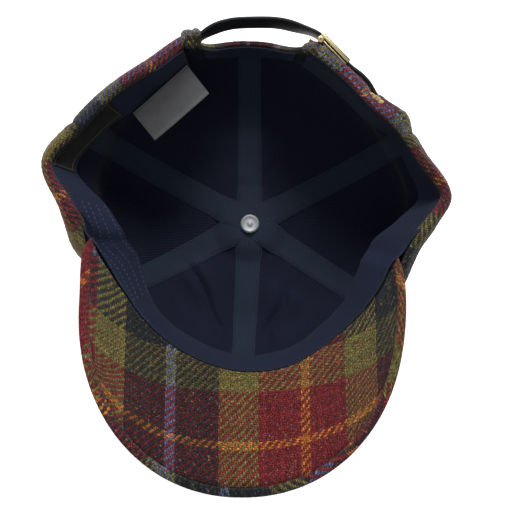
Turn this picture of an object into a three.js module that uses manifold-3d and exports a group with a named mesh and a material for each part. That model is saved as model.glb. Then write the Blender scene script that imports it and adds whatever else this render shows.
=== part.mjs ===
// A six-panel peaked cap in tweed, lying on its crown with the opening up.
// Millimetres, +Z up, the peak towards -Y. The origin is on the surface that the cap lies on,
// straight under the button that joins the six panels.
import * as THREE from "three";
import { mergeVertices } from "three/addons/utils/BufferGeometryUtils.js";
import Module from "manifold-3d";

const wasm = await Module();
wasm.setup();

// Driving dimensions of the crown
const BELLY_HEIGHT = 52; // level at which the crown is widest
const BACK_BELLY = 9; // how much higher that is at the back
const PRESSED_DEPTH = 9; // how far the soft crown is flattened by the surface it lies on
const PRESS_BLEND = 5; // height over which the flattened patch turns into the bowl
const SQUARENESS = { side: 2.35, back: -0.3, front: 0.45 }; // of the section, where 2 is an ellipse
const TWEED = 2; // one ply of tweed
const HEM = 5.6; // tweed, its turned edge and the padding in the rim
const ARCH_HEM = 3.4; // the same round the arch, where it isn't padded
const HEM_WIDTH = 10;
const HEM_ROUNDING = 1.6;
const LINING_DEPTH = 2.6; // from the outside of the tweed to the lining
const LINING = 1;
const TAPE_DEPTH = 4.4;
const TAPE = 1;
const TAPE_WIDTH = 15;
const LAYER_GAP = 0.4; // between two pieces of cloth that lie on each other
const SEAM_GAP = 0.4; // between two panels
const TIP_RADIUS = 3.4; // hole in the middle of the crown, for the button's shank

// Driving dimensions of the sweatband, the opening at the back and the peak
const BAND_DEPTH = 5.95;
const BAND = 1.2;
const BAND_WIDTH = 30;
const BAND_LIFT = 4.8; // how far the band's left end stands in, over the strap's end
const BAND_ENDS = { left: 112, right: 430 };
const ARCH_HALF_WIDTH = 33;
const ARCH_HEIGHT = 44;
const FACING_WIDTH = 13;
const PEAK_THICKNESS = 5.4;
const PEAK_UNDER = 2.1; // the cloth on the side that faces up here
const PEAK_ROLL = 3.4; // how far the upper cover turns round the edge
const PEAK_OUTLINE = { x: -3.2, y: -47, halfWidth: 88.7, length: 105.2, square: 2.1, tip: 15.4, flare: 4 };
const PEAK_SEAM = { left: 187.5, right: 352.5 }; // degrees round the rim
const PEAK_MIDDLE = { y: -85.3, height: 78 };
const PEAK_BOW = 115; // radius of the peak's curve from side to side
const PEAK_RISE = 0.325; // how much the peak climbs for each millimetre forward

// Driving dimensions of the fastening
const STRAP = { width: 17, thickness: 2, fromRim: 11.5, height: 89.5 };
const POCKET = { from: 34, to: 43.4, swell: 3.8, fromRim: 12, halfWidth: 13 };
const BUCKLE = { x: 46.7, y: 93.3, turn: -45.6, length: 21, width: 21, plate: 1.1, side: 1, gap: 0.35 };
const HINGE = { x: -9, z: -2.35, pin: 0.9, ring: 2.3 };
const TAB = { width: 14, thickness: 1.2, height: 90 };

// Driving dimensions of the button
const BUTTON = { radius: 7.6, height: 5 };
const RIVET = { radius: 5.8, height: 2.3, shank: 1.6 };

// Driving dimensions of the labels. The care label's corners run down from the band and back up.
const CARE_LABEL = {
  top: [[-37.5, 89.5, 72], [-70, 67.6, 71]],
  bottom: [[-24.5, 71.5, 51], [-56, 48.5, 51]],
  hang: 10, // how far it falls straight before it leans in
  thickness: 0.8,
};
const BAND_LABEL = { from: 139.5, to: 165.5, thickness: 0.7 };

// The six seams, in degrees round the button, from +X towards +Y
const SEAMS = {
  rightBack: 28,
  back: 90,
  leftBack: 151,
  leftFront: 207,
  front: 267,
  rightFront: 327,
};

// The crown's form round the button. radius and height are of the rim, body is the radius of the
// bowl lower down, swell is how far the cloth bellies out just below the rim, and lean is how far
// the sweatband's free edge stands in from the crown.
const ROUND = [
  { place: "right corner", angle: 7, radius: 110.5, height: 95, body: 96, swell: 5, lean: 2 },
  { place: "right side", angle: 20, radius: 101, height: 98, body: 96, swell: 5.5, lean: 1 },
  { place: "beyond the slot", angle: 32, radius: 97.4, height: 99, body: 95, swell: 6.2, lean: 1 },
  { place: "strap slot", angle: 43, radius: 95.4, height: 100, body: 94, swell: 0.5, lean: 1 },
  { place: "right of the arch", angle: 58, radius: 98, height: 100, body: 96, swell: 0.5, lean: 1 },
  { place: "arch right end", angle: 72, radius: 102.8, height: 100, body: 100.5, swell: 0.5, lean: 1 },
  { place: "back centre", angle: 90, radius: 106, height: 100, body: 106, swell: 1, lean: 1 },
  { place: "arch left end", angle: 108, radius: 107.4, height: 100, body: 102, swell: 0.5, lean: 1 },
  { place: "left of the arch", angle: 122, radius: 103.8, height: 100, body: 99, swell: 1, lean: 4 },
  { place: "back of left side", angle: 136, radius: 104.6, height: 99, body: 98, swell: 4.8, lean: 6 },
  { place: "left side", angle: 151, radius: 107.6, height: 97, body: 97, swell: 7.6, lean: 3 },
  { place: "left corner", angle: 164, radius: 116.4, height: 95, body: 97, swell: 6.5, lean: 2 },
  { place: "left of the peak", angle: 176, radius: 104.4, height: 97, body: 93, swell: 2.5, lean: 10 },
  { place: "peak left tip", angle: 188, radius: 93.6, height: 100, body: 90, swell: 8, lean: 17 },
  { place: "peak left", angle: 202, radius: 86, height: 100, body: 86, swell: 4, lean: 12 },
  { place: "peak left half", angle: 222, radius: 87, height: 100, body: 86, swell: 3, lean: 6 },
  { place: "peak front left", angle: 245, radius: 89, height: 100, body: 87, swell: 2, lean: 4 },
  { place: "peak centre", angle: 268, radius: 91.4, height: 100, body: 89, swell: 2, lean: 4 },
  { place: "peak front right", angle: 290, radius: 90.6, height: 100, body: 88, swell: 2, lean: 4 },
  { place: "peak right half", angle: 312, radius: 88.8, height: 100, body: 87, swell: 3, lean: 6 },
  { place: "peak right", angle: 334, radius: 89.4, height: 100, body: 87, swell: 4.5, lean: 13 },
  { place: "peak right tip", angle: 350, radius: 93.8, height: 98, body: 89, swell: 5, lean: 17 },
];

const MATERIALS = {
  tweed: { color: 0x6a2e2c, roughness: 0.95, metalness: 0 },
  lining: { color: 0x1a2038, roughness: 0.9, metalness: 0 },
  tape: { color: 0x1d2836, roughness: 0.9, metalness: 0 },
  band: { color: 0x232c4a, roughness: 0.9, metalness: 0 },
  leather: { color: 0x15181a, roughness: 0.5, metalness: 0 },
  brass: { color: 0xb0a05c, roughness: 0.35, metalness: 1 },
  steel: { color: 0xc4c4c8, roughness: 0.3, metalness: 1 },
  whiteLabel: { color: 0x9a9a98, roughness: 0.7, metalness: 0 },
  blackLabel: { color: 0x14160f, roughness: 0.8, metalness: 0 },
};

const radians = THREE.MathUtils.degToRad;
const clamp = THREE.MathUtils.clamp;

function smooth(from, to, value) {
  const t = clamp((value - from) / (to - from), 0, 1);
  return t * t * (3 - 2 * t);
}

function evenly(from, to, steps) {
  return Array.from({ length: steps + 1 }, (_, i) => from + ((to - from) * i) / steps);
}

// A column of ROUND at any angle, on a smooth closed curve through its rows.
function around(column, angle) {
  const n = ROUND.length;
  const turned = ((((angle - ROUND[0].angle) % 360) + 360) % 360) + ROUND[0].angle;
  let k = n - 1;
  while (k > 0 && ROUND[k].angle > turned) k -= 1;
  const row = (i) => ROUND[(i + n) % n];
  const at = (i) => row(i).angle + 360 * Math.floor(i / n);
  const slope = (i) => (row(i + 1)[column] - row(i - 1)[column]) / (at(i + 1) - at(i - 1));
  const width = at(k + 1) - at(k);
  const t = (turned - at(k)) / width;
  const rise = row(k + 1)[column] - row(k)[column];
  const first = slope(k) * width;
  const last = slope(k + 1) * width;
  return (
    row(k)[column] + t * first + t * t * (3 * rise - 2 * first - last) + t * t * t * (first + last - 2 * rise)
  );
}

// Height of the peak's upward face over a point of the plan.
function peakHeight(x, y) {
  const side = clamp(x - PEAK_OUTLINE.x, -PEAK_BOW * 0.95, PEAK_BOW * 0.95);
  const bow = PEAK_BOW - Math.sqrt(PEAK_BOW * PEAK_BOW - side * side);
  return PEAK_MIDDLE.height + bow + PEAK_RISE * (PEAK_MIDDLE.y - y);
}

// Height of the crown's rim: level round the back, and under the peak at the front.
function rimHeight(angle) {
  const radius = around("radius", angle);
  const x = radius * Math.cos(radians(angle));
  const y = radius * Math.sin(radians(angle));
  const free = around("height", angle);
  const underPeak = peakHeight(x, y) - PEAK_THICKNESS - 3 * LAYER_GAP;
  const rounding = 6;
  const lower = Math.min(free, underPeak);
  const near = Math.max(rounding - Math.abs(free - underPeak), 0) / rounding;
  const joined = lower - (near * near * rounding) / 4;
  return THREE.MathUtils.lerp(joined, free, smooth(-6, 6, y));
}

// The crown's outside along one angle, from the middle to the rim, with the length along the cloth.
const profiles = new Map();
function profile(angle) {
  const key = angle.toFixed(4);
  if (profiles.has(key)) return profiles.get(key);
  const body = around("body", angle);
  const rim = around("radius", angle);
  const top = rimHeight(angle);
  const swell = around("swell", angle);
  const back = Math.max(0, Math.sin(radians(angle)));
  const front = Math.max(0, -Math.sin(radians(angle)));
  const belly = BELLY_HEIGHT + BACK_BELLY * back * back;
  const power = 2 / (SQUARENESS.side + SQUARENESS.back * back + SQUARENESS.front * front);
  const points = [];
  for (const turn of evenly(0, Math.PI / 2, 60)) {
    const radius = body * Math.sin(turn) ** power;
    const drop = Math.max(Math.cos(turn), 0) ** power;
    points.push({ radius, height: -PRESSED_DEPTH + (belly + PRESSED_DEPTH) * (1 - drop) });
  }
  for (const share of evenly(0, 1, 30).slice(1)) {
    const radius = body + (rim - body) * smooth(0, 1, share) + swell * 6.75 * share * share * (1 - share);
    points.push({ radius, height: belly + (top - belly) * share });
  }
  let length = 0;
  points.forEach((point, i) => {
    point.height = pressed(point.height) + dimple(point.radius);
    if (i) length += Math.hypot(point.radius - points[i - 1].radius, point.height - points[i - 1].height);
    point.length = length;
  });
  profiles.set(key, points);
  return points;
}

// The surface under the cap flattens what would hang below it.
function pressed(height) {
  if (height <= -PRESS_BLEND) return 0;
  if (height < PRESS_BLEND) return (height + PRESS_BLEND) ** 2 / (4 * PRESS_BLEND);
  return height;
}

// The button stands on the surface too, and pushes the middle of the crown up by its own height.
function dimple(radius) {
  return (BUTTON.height + LAYER_GAP) * (1 - smooth(9.5, 25, radius));
}

function lengthOf(angle) {
  return profile(angle).at(-1).length;
}

// A point of the crown's outside, by its angle and its distance from the rim along the cloth.
function onCrown(angle, fromRim) {
  const points = profile(angle);
  const wanted = points.at(-1).length - fromRim;
  let k = points.findIndex((point) => point.length >= wanted);
  if (k < 0) k = points.length - 1;
  k = Math.max(k, 1);
  const [a, b] = [points[k - 1], points[k]];
  const t = (wanted - a.length) / (b.length - a.length);
  const radius = a.radius + t * (b.radius - a.radius);
  const height = a.height + t * (b.height - a.height);
  return new THREE.Vector3(radius * Math.cos(radians(angle)), radius * Math.sin(radians(angle)), height);
}

// The same point, moved into the crown by a depth square to the cloth.
function inCrown(angle, fromRim, depth) {
  const step = 0.4;
  const across = onCrown(angle + step, fromRim).sub(onCrown(angle - step, fromRim));
  const along = onCrown(angle, fromRim - step).sub(onCrown(angle, fromRim + step));
  const inward = along.cross(across).normalize();
  return onCrown(angle, fromRim).addScaledVector(inward, depth);
}

// How far the cloth at the strap's slot bellies out over the strap's tail.
function pocketSwell(angle, fromRim) {
  const middle = (POCKET.from + POCKET.to) / 2;
  const half = (POCKET.to - POCKET.from) / 2;
  const side = angle > middle ? smooth(half + 1.2, half, angle - middle) : smooth(half + 5.5, half, middle - angle);
  const height = smooth(POCKET.halfWidth, POCKET.halfWidth - 5, Math.abs(fromRim - POCKET.fromRim));
  return POCKET.swell * side * height;
}

// A closed wall between two skins, each a grid of points with the same rows and columns.
function wall(outer, inner) {
  const columns = outer.length;
  const rows = outer[0].length;
  const points = [...outer.flat(), ...inner.flat()];
  const at = (skin, i, j) => skin * columns * rows + i * rows + j;
  const index = [];
  const quad = (a, b, c, d) => index.push(a, b, c, a, c, d);
  for (let i = 0; i < columns - 1; i += 1)
    for (let j = 0; j < rows - 1; j += 1) {
      quad(at(0, i, j), at(0, i + 1, j), at(0, i + 1, j + 1), at(0, i, j + 1));
      quad(at(1, i, j), at(1, i, j + 1), at(1, i + 1, j + 1), at(1, i + 1, j));
    }
  for (let i = 0; i < columns - 1; i += 1) {
    quad(at(0, i, 0), at(1, i, 0), at(1, i + 1, 0), at(0, i + 1, 0));
    quad(at(0, i, rows - 1), at(0, i + 1, rows - 1), at(1, i + 1, rows - 1), at(1, i, rows - 1));
  }
  for (let j = 0; j < rows - 1; j += 1) {
    quad(at(0, 0, j), at(0, 0, j + 1), at(1, 0, j + 1), at(1, 0, j));
    quad(at(0, columns - 1, j), at(1, columns - 1, j), at(1, columns - 1, j + 1), at(0, columns - 1, j + 1));
  }
  const geometry = new THREE.BufferGeometry().setFromPoints(points);
  geometry.setIndex(index);
  return facingOut(geometry);
}

// Turns a closed geometry's faces round if they point inwards.
function facingOut(geometry) {
  const position = geometry.getAttribute("position");
  const index = geometry.index.array;
  const corner = [new THREE.Vector3(), new THREE.Vector3(), new THREE.Vector3()];
  let volume = 0;
  for (let i = 0; i < index.length; i += 3) {
    corner.forEach((point, k) => point.fromBufferAttribute(position, index[i + k]));
    volume += corner[0].dot(corner[1].clone().cross(corner[2]));
  }
  if (volume < 0)
    for (let i = 0; i < index.length; i += 3) [index[i + 1], index[i + 2]] = [index[i + 2], index[i + 1]];
  return geometry;
}

function solid(geometry) {
  const bare = geometry.clone();
  bare.deleteAttribute("normal");
  bare.deleteAttribute("uv");
  const merged = mergeVertices(bare, 1e-4);
  return new wasm.Manifold(
    new wasm.Mesh({
      numProp: 3,
      vertProperties: merged.getAttribute("position").array,
      triVerts: new Uint32Array(merged.index.array),
    }),
  );
}

function geometryOf(manifold) {
  const mesh = manifold.getMesh();
  const geometry = new THREE.BufferGeometry();
  geometry.setAttribute("position", new THREE.BufferAttribute(Float32Array.from(mesh.vertProperties), 3));
  geometry.setIndex(Array.from(mesh.triVerts));
  return geometry;
}

const cap = new THREE.Group();
function add(name, finish, geometry) {
  geometry.computeVertexNormals();
  const mesh = new THREE.Mesh(geometry, new THREE.MeshStandardMaterial(MATERIALS[finish]));
  mesh.name = name;
  cap.add(mesh);
  return mesh;
}

// Where the cloth starts below the rim: at the rim, or at the arch that is cut out of the back.
function archDepth(angle) {
  const side = around("radius", angle) * Math.sin(radians(angle - SEAMS.back));
  if (Math.abs(angle - SEAMS.back) > 60 || Math.abs(side) >= ARCH_HALF_WIDTH) return 0;
  return ARCH_HEIGHT * Math.sqrt(1 - (side / ARCH_HALF_WIDTH) ** 2);
}

// The angle of the arch's edge at a share of its half width.
function archAngle(share) {
  const end = share < 0 ? 72 : 108;
  const radius = THREE.MathUtils.lerp(around("radius", SEAMS.back), around("radius", end), Math.abs(share));
  return SEAMS.back + THREE.MathUtils.radToDeg(Math.asin((share * ARCH_HALF_WIDTH * 0.999) / radius));
}

function archAngles(from, to, steps) {
  return evenly(from, to, steps).map((share) => archAngle(Math.sin((share * Math.PI) / 2)));
}

function hemDepth(angle) {
  return THREE.MathUtils.lerp(ARCH_HEM, HEM, smooth(17.5, 23, Math.abs(angle - SEAMS.back)));
}

// Columns of a panel between two seams, closer together round the end of the arch.
const PANEL_STEPS = 8;
function panelAngles(from, to) {
  const rest = PANEL_STEPS - 3;
  if (to === SEAMS.back) return [...evenly(from, archAngle(-1), rest).slice(0, -1), ...archAngles(-1, 0, 4)];
  if (from === SEAMS.back) return [...archAngles(0, 1, 4).slice(0, -1), ...evenly(archAngle(1), to, rest)];
  return evenly(from, to, PANEL_STEPS);
}

// Stations up a line of the cloth, from the dimple to the hem, as distances from the middle. Every
// layer uses the same ones, so that the layers keep the same distance from each other.
const DIMPLE_STATIONS = [9.5, 14, 19, 25];
const WALL_SHARES = [0.2, 0.32, 0.43, 0.54, 0.66, 0.79, 0.91];
function stations(angle) {
  const start = DIMPLE_STATIONS.at(-1);
  const top = lengthOf(angle) - archDepth(angle) - HEM_WIDTH;
  return [...DIMPLE_STATIONS, ...WALL_SHARES.map((share) => start + (top - start) * share)];
}

// How much lower the inside of the hem is than its outside, to follow the slope of the peak on it
function hemSlope(angle) {
  const under = smooth(PEAK_SEAM.left - 5, PEAK_SEAM.left + 3, angle % 360);
  const past = smooth(PEAK_SEAM.right + 5, PEAK_SEAM.right - 3, angle % 360);
  const height = (radius) => peakHeight(radius * Math.cos(radians(angle)), radius * Math.sin(radians(angle)));
  const radius = around("radius", angle);
  return under * past * Math.max(height(radius) - height(radius - HEM), 0);
}

// A panel's grid of points between two seams, from the rows at its edge down to its middle
function panelSkin(panel, edgeRows, depthOf) {
  const angles = panelAngles(panel.from, panel.to);
  return angles.map((angle, i) => {
    const full = lengthOf(angle);
    const edge = edgeRows(angle).map((row) => archDepth(angle) + row);
    const rows = [...edge, ...[TIP_RADIUS, ...stations(angle)].reverse().map((station) => full - station)];
    return rows.map((fromRim, j) => {
      const flat = onCrown(angle, fromRim);
      const aside = THREE.MathUtils.radToDeg(Math.asin(SEAM_GAP / 2 / Math.hypot(flat.x, flat.y)));
      const shift = i === 0 ? aside : i === angles.length - 1 ? -aside : 0;
      return inCrown(angle + shift, fromRim, depthOf(j, angle));
    });
  });
}

const PANELS = [
  { side: "back_right", from: SEAMS.rightBack, to: SEAMS.back },
  { side: "back_left", from: SEAMS.back, to: SEAMS.leftBack },
  { side: "side_left", from: SEAMS.leftBack, to: SEAMS.leftFront },
  { side: "front_left", from: SEAMS.leftFront, to: SEAMS.front },
  { side: "front_right", from: SEAMS.front, to: SEAMS.rightFront },
  { side: "side_right", from: SEAMS.rightFront, to: SEAMS.rightBack + 360 },
];

// The tweed panel has a thick rounded hem along its edge.
function tweedPanel(panel) {
  const outsideRows = () => [0, HEM_ROUNDING, HEM_WIDTH - 0.6, HEM_WIDTH];
  const insideRows = (angle) =>
    outsideRows().map((row, j) => row + hemSlope(angle) * ([0.75, 1][j] ?? 0));
  const outside = (j) => (j === 0 ? HEM_ROUNDING : 0);
  const inside = (j, angle) => {
    if (j > 2) return TWEED;
    return hemDepth(angle) - (j === 0 ? HEM_ROUNDING : 0);
  };
  return wall(panelSkin(panel, outsideRows, outside), panelSkin(panel, insideRows, inside));
}

function liningPanel(panel) {
  const rows = () => [HEM_WIDTH + 0.8];
  return wall(
    panelSkin(panel, rows, () => LINING_DEPTH),
    panelSkin(panel, rows, () => LINING_DEPTH + LINING),
  );
}

// The buckle's own frame, where X runs along the strap, Y is down and Z points away from the cap
const buckle = new THREE.Group();
const buckleAlong = new THREE.Vector3(Math.cos(radians(BUCKLE.turn)), Math.sin(radians(BUCKLE.turn)), 0);
const buckleOut = new THREE.Vector3(-buckleAlong.y, buckleAlong.x, 0);
const buckleFacing = new THREE.Matrix4().makeBasis(buckleAlong, new THREE.Vector3(0, 0, -1), buckleOut);
buckle.quaternion.setFromRotationMatrix(buckleFacing);
buckle.position.set(BUCKLE.x, BUCKLE.y, STRAP.height);
cap.add(buckle);
buckle.updateMatrixWorld(true);

// A point at a depth in the crown, at the level of the strap there
function atStrap(angle, depth, height) {
  return inCrown(angle, STRAP.fromRim, depth).setZ(height);
}

// The strap's line: sewn inside the left of the arch, free across it, through the buckle, and
// along the outside of the crown into the slot.
const STRAP_FREE = [
  { x: -31.8, y: 94.2 },
  { x: -27.4, y: 97.6 },
  { x: -18.4, y: 104.2 },
  { x: -8, y: 107.4 },
  { x: 2, y: 108.6 },
  { x: 18, y: 107.8 },
  { x: 29, y: 105.4 },
];
const STRAP_TAIL = [
  { angle: 52, out: 4.2, drop: 0 },
  { angle: 48.6, out: 4.1, drop: 0.8 },
  { angle: 45.4, out: 3, drop: 2 },
  { angle: 42.4, out: 1.5, drop: 3 },
  { angle: 39, out: 0.6, drop: 3 },
  { angle: 35.6, out: 0.5, drop: 3 },
  { angle: 33.6, out: 0.5, drop: 3 },
];
function strapCurve() {
  const insideHem = HEM + LAYER_GAP + STRAP.thickness / 2 + 0.9;
  const inBuckle = (x) => buckle.localToWorld(new THREE.Vector3(x, 0, 0));
  return new THREE.CatmullRomCurve3(
    [
      atStrap(118, insideHem, STRAP.height),
      atStrap(114, insideHem, STRAP.height),
      atStrap(110.6, insideHem - 1, STRAP.height),
      ...STRAP_FREE.map(({ x, y }) => new THREE.Vector3(x, y, STRAP.height)),
      inBuckle(-BUCKLE.length / 2 - 2),
      inBuckle(-BUCKLE.length / 4),
      inBuckle(BUCKLE.length / 4),
      inBuckle(BUCKLE.length / 2 + 2),
      ...STRAP_TAIL.map(({ angle, out, drop }) => atStrap(angle, -out, STRAP.height - drop)),
    ],
    false,
    "centripetal",
  );
}
const strapLine = strapCurve();

// A flat band on edge along a curve, between two points of it
function bandAlong(curve, width, thickness, steps, from = 0, to = 1) {
  const skins = [1, -1].map((face) =>
    evenly(from, to, steps).map((t) => {
      const along = curve.getTangentAt(t);
      const away = new THREE.Vector3(-along.y, along.x, 0).normalize();
      const middle = curve.getPointAt(t).addScaledVector(away, (face * thickness) / 2);
      return [-1, 1].map((end) => middle.clone().setZ(middle.z + (end * width) / 2));
    }),
  );
  return wall(skins[0], skins[1]);
}

// The panel with the strap's slot: a swelling over the tail, cut to let the strap through
function slotPanel(panel) {
  const angles = [28.6, 31.2, ...evenly(POCKET.from, POCKET.to, 4), POCKET.to + 0.6, POCKET.to + 1.2];
  const rows = evenly(POCKET.fromRim - POCKET.halfWidth + 1, POCKET.fromRim + POCKET.halfWidth, 7);
  const bite = 0.3; // the swelling's edges start inside the panel's own cloth
  const cover = angles.map((angle) => rows.map((row) => inCrown(angle, row, bite - pocketSwell(angle, row))));
  const under = angles.map((angle) => rows.map((row) => inCrown(angle, row, TWEED - 2 * bite)));
  const clear = 2 * LAYER_GAP;
  const opening = bandAlong(strapLine, STRAP.width + clear, STRAP.thickness + clear, 60, 0.6, 1);
  const cut = solid(tweedPanel(panel)).add(solid(wall(cover, under))).subtract(solid(opening));
  const [whole] = cut.decompose().sort((a, b) => b.volume() - a.volume());
  return geometryOf(whole);
}

for (const panel of PANELS) {
  const slotted = panel.side === "back_right";
  add("panel_" + panel.side, "tweed", slotted ? slotPanel(panel) : tweedPanel(panel));
  add("lining_" + panel.side, "lining", liningPanel(panel));
}

// A tape covers each seam of the lining. The first pair runs across the middle, and the others
// are cut along its edges, so each names the directions of the tapes that its end meets.
const TAPES = [
  { name: "tape_left_back", seam: SEAMS.leftBack, meets: [] },
  { name: "tape_right_front", seam: SEAMS.rightFront, meets: [] },
  { name: "tape_right_back", seam: SEAMS.rightBack, meets: [SEAMS.leftBack, SEAMS.rightFront] },
  { name: "tape_left_front", seam: SEAMS.leftFront, meets: [SEAMS.leftBack, SEAMS.rightFront] },
  { name: "tape_back", seam: SEAMS.back, meets: [SEAMS.leftBack, SEAMS.rightBack] },
  { name: "tape_front", seam: SEAMS.front, meets: [SEAMS.leftFront, SEAMS.rightFront] },
];

// Where a tape starts from the middle, at a distance aside from its own line
function tapeStart(tape, aside) {
  const clear = TAPE_WIDTH / 2 + LAYER_GAP;
  const starts = tape.meets.map((other) => {
    const between = radians(other - tape.seam);
    const towards = aside * Math.sign(Math.sin(between));
    return (clear + towards * Math.cos(between)) / Math.abs(Math.sin(between));
  });
  return Math.max(TIP_RADIUS, ...starts);
}

// A point on a flat facet of the layers, between two columns of the panel at an angle
function onFacet(angle, fromRimOf, depth) {
  const panel = PANELS.find(({ from, to }) => angle >= from && angle <= to) ?? PANELS.at(-1);
  const turned = angle < panel.from ? angle + 360 : angle;
  const columns = panelAngles(panel.from, panel.to);
  const next = Math.max(columns.findIndex((column) => column >= turned), 1);
  const [a, b] = [columns[next - 1], columns[next]];
  const start = inCrown(a, fromRimOf(a), depth);
  return start.lerp(inCrown(b, fromRimOf(b), depth), (turned - a) / (b - a));
}

// A point over a tape. The station counts up from the tape's cut end, and aside is square to it.
function overSeam(tape, station, aside, depth) {
  const { seam } = tape;
  const levels = stations(seam);
  const topRow = HEM_WIDTH + (seam === SEAMS.back ? FACING_WIDTH - HEM_WIDTH + 0.6 : 1.6);
  const atTop = station > levels.length;
  const inDimple = station <= DIMPLE_STATIONS.length;
  const low = tapeStart(tape, aside) + 0.5 * station;
  const fromTip = atTop
    ? lengthOf(seam) - archDepth(seam) - topRow
    : Math.max(levels[station - 1] ?? 0, inDimple ? low : 0);
  const flat = onCrown(seam, lengthOf(seam) - fromTip);
  const stretch = fromTip / Math.max(Math.hypot(flat.x, flat.y), 0.1);
  const angle = seam + THREE.MathUtils.radToDeg(Math.atan2(aside * stretch, fromTip));
  if (inDimple) return inCrown(angle, lengthOf(angle) - Math.hypot(aside * stretch, fromTip), depth);
  const fromRimOf = (column) =>
    atTop ? archDepth(column) + topRow : lengthOf(column) - stations(column)[station - 1];
  return onFacet(angle, fromRimOf, depth);
}

function tapeWall(tape) {
  const counts = Array.from({ length: stations(tape.seam).length + 2 }, (_, i) => i);
  const skin = (depth) =>
    evenly(-TAPE_WIDTH / 2, TAPE_WIDTH / 2, 2).map((aside) =>
      counts.map((station) => overSeam(tape, station, aside, depth)),
    );
  return wall(skin(TAPE_DEPTH), skin(TAPE_DEPTH + TAPE));
}

for (const tape of TAPES) add(tape.name, "tape", tapeWall(tape));

// The sweatband's left end stands in, where the strap is sewn under it.
function bandPoint(angle, fromRim, depth) {
  const lift = BAND_LIFT * (1 - smooth(9, 15, angle - BAND_ENDS.left));
  const lean = around("lean", angle) * Math.max(fromRim / BAND_WIDTH, 0) ** 1.3;
  const point = inCrown(angle, fromRim, BAND_DEPTH + depth + lift);
  const inward = new THREE.Vector3(point.x, point.y, 0).normalize();
  return point.addScaledVector(inward, -lean);
}

// The panels' columns between two angles, and the two angles
function columnsBetween(from, to) {
  const columns = [0, 360].flatMap((turn) =>
    PANELS.flatMap((panel) => panelAngles(panel.from, panel.to).slice(1).map((angle) => angle + turn)),
  );
  return [from, ...columns.filter((angle) => angle > from + 1 && angle < to - 1), to];
}

function sweatband() {
  const skin = (depth) =>
    columnsBetween(BAND_ENDS.left, BAND_ENDS.right).map((angle) => {
      const under = smooth(PEAK_SEAM.left - 3, PEAK_SEAM.left + 4, angle);
      const past = smooth(PEAK_SEAM.right + 3, PEAK_SEAM.right - 4, angle);
      const top = 0.8 - under * past * (PEAK_THICKNESS + LAYER_GAP);
      return [top, HEM_WIDTH, 20, BAND_WIDTH].map((fromRim) => bandPoint(angle, fromRim, depth));
    });
  return wall(skin(0), skin(BAND));
}
add("sweatband", "band", sweatband());

// A narrow facing is sewn round the arch, over the edge of the lining.
function archFacing() {
  const [first, last] = archAngles(-0.62, 0.62, 1);
  const angles = [first, ...archAngles(-0.5, 0.5, 4), last];
  const skin = (depth) =>
    angles.map((angle) => [1.4, FACING_WIDTH].map((row) => inCrown(angle, archDepth(angle) + row, depth)));
  return wall(skin(TAPE_DEPTH), skin(TAPE_DEPTH + TAPE));
}
add("arch_facing", "band", archFacing());

// The peak from its seam to its edge. place runs from the left tip to the right tip, and reach
// from the seam to the edge.
function onPeak(place, reach, below) {
  const angle = THREE.MathUtils.lerp(PEAK_SEAM.left, PEAK_SEAM.right, place);
  const turn = radians(THREE.MathUtils.lerp(180 - PEAK_OUTLINE.tip, 360 + PEAK_OUTLINE.tip, place));
  const rim = onCrown(angle, 0);
  const seam = around("radius", angle) - HEM + 1;
  const inner = new THREE.Vector2(rim.x, rim.y).setLength(seam);
  const squared = (value) => Math.sign(value) * Math.abs(value) ** (2 / PEAK_OUTLINE.square);
  const outer = new THREE.Vector2(
    PEAK_OUTLINE.x + PEAK_OUTLINE.halfWidth * squared(Math.cos(turn)),
    PEAK_OUTLINE.y + PEAK_OUTLINE.length * squared(Math.sin(turn)),
  );
  outer.x += Math.sign(Math.cos(turn)) * PEAK_OUTLINE.flare * smooth(-48, -22, outer.y);
  const flat = inner.clone().lerp(outer, reach);
  const away = outer.clone().sub(inner).length();
  return { away, point: new THREE.Vector3(flat.x, flat.y, peakHeight(flat.x, flat.y) - below) };
}

// Places across the peak: a share of its field, from the seam to the rolled edge, or a distance
// from its outline within the roll.
const ROLL_ZONE = PEAK_ROLL + 0.8;
const rollShare = (away) => Math.min(ROLL_ZONE / away, 0.6);
const field = (part) => (away) => part * (1 - rollShare(away));
const edge = (distance) => (away) => 1 - (distance / ROLL_ZONE) * rollShare(away);

// One skin of a peak's cover: each pair is a place across the peak and a depth.
function peakSkin(section) {
  return evenly(0.02, 0.98, 26).map((place) => {
    const { away } = onPeak(place, 1, 0);
    return section.map(([across, below]) => onPeak(place, across(away), below).point);
  });
}

function peakUpper() {
  const full = PEAK_THICKNESS;
  const split = PEAK_UNDER + LAYER_GAP;
  const fields = [0, 0.25, 0.5, 0.75, 1].map(field);
  const outer = [
    ...fields.map((place) => [place, full]),
    [edge(1.6), full],
    [edge(0), full - 1.6],
    [edge(0), 1.6],
    [edge(1.6), 0],
    [edge(PEAK_ROLL), 0],
  ];
  const inner = [
    ...fields.map((place) => [place, split]),
    [edge(PEAK_ROLL + 0.5), split],
    [edge(PEAK_ROLL + 0.2), split],
    [edge(PEAK_ROLL), split * 0.9],
    [edge(PEAK_ROLL), split * 0.6],
    [edge(PEAK_ROLL), split * 0.3],
  ];
  return wall(peakSkin(outer), peakSkin(inner));
}

function peakUnder() {
  const places = [...[0, 0.25, 0.5, 0.75, 1].map(field), edge(PEAK_ROLL + LAYER_GAP)];
  return wall(
    peakSkin(places.map((place) => [place, 0])),
    peakSkin(places.map((place) => [place, PEAK_UNDER])),
  );
}

add("peak_upper", "tweed", peakUpper());
add("peak_under", "tweed", peakUnder());

add("strap", "leather", bandAlong(strapLine, STRAP.width, STRAP.thickness, 48, 0, 0.985));

function box(length, width, depth, x, y, z) {
  return solid(new THREE.BoxGeometry(length, width, depth).translate(x, y, z));
}

function rod(radius, length, x, y, z) {
  return solid(new THREE.CylinderGeometry(radius, radius, length, 12).translate(x, y, z));
}

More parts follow.
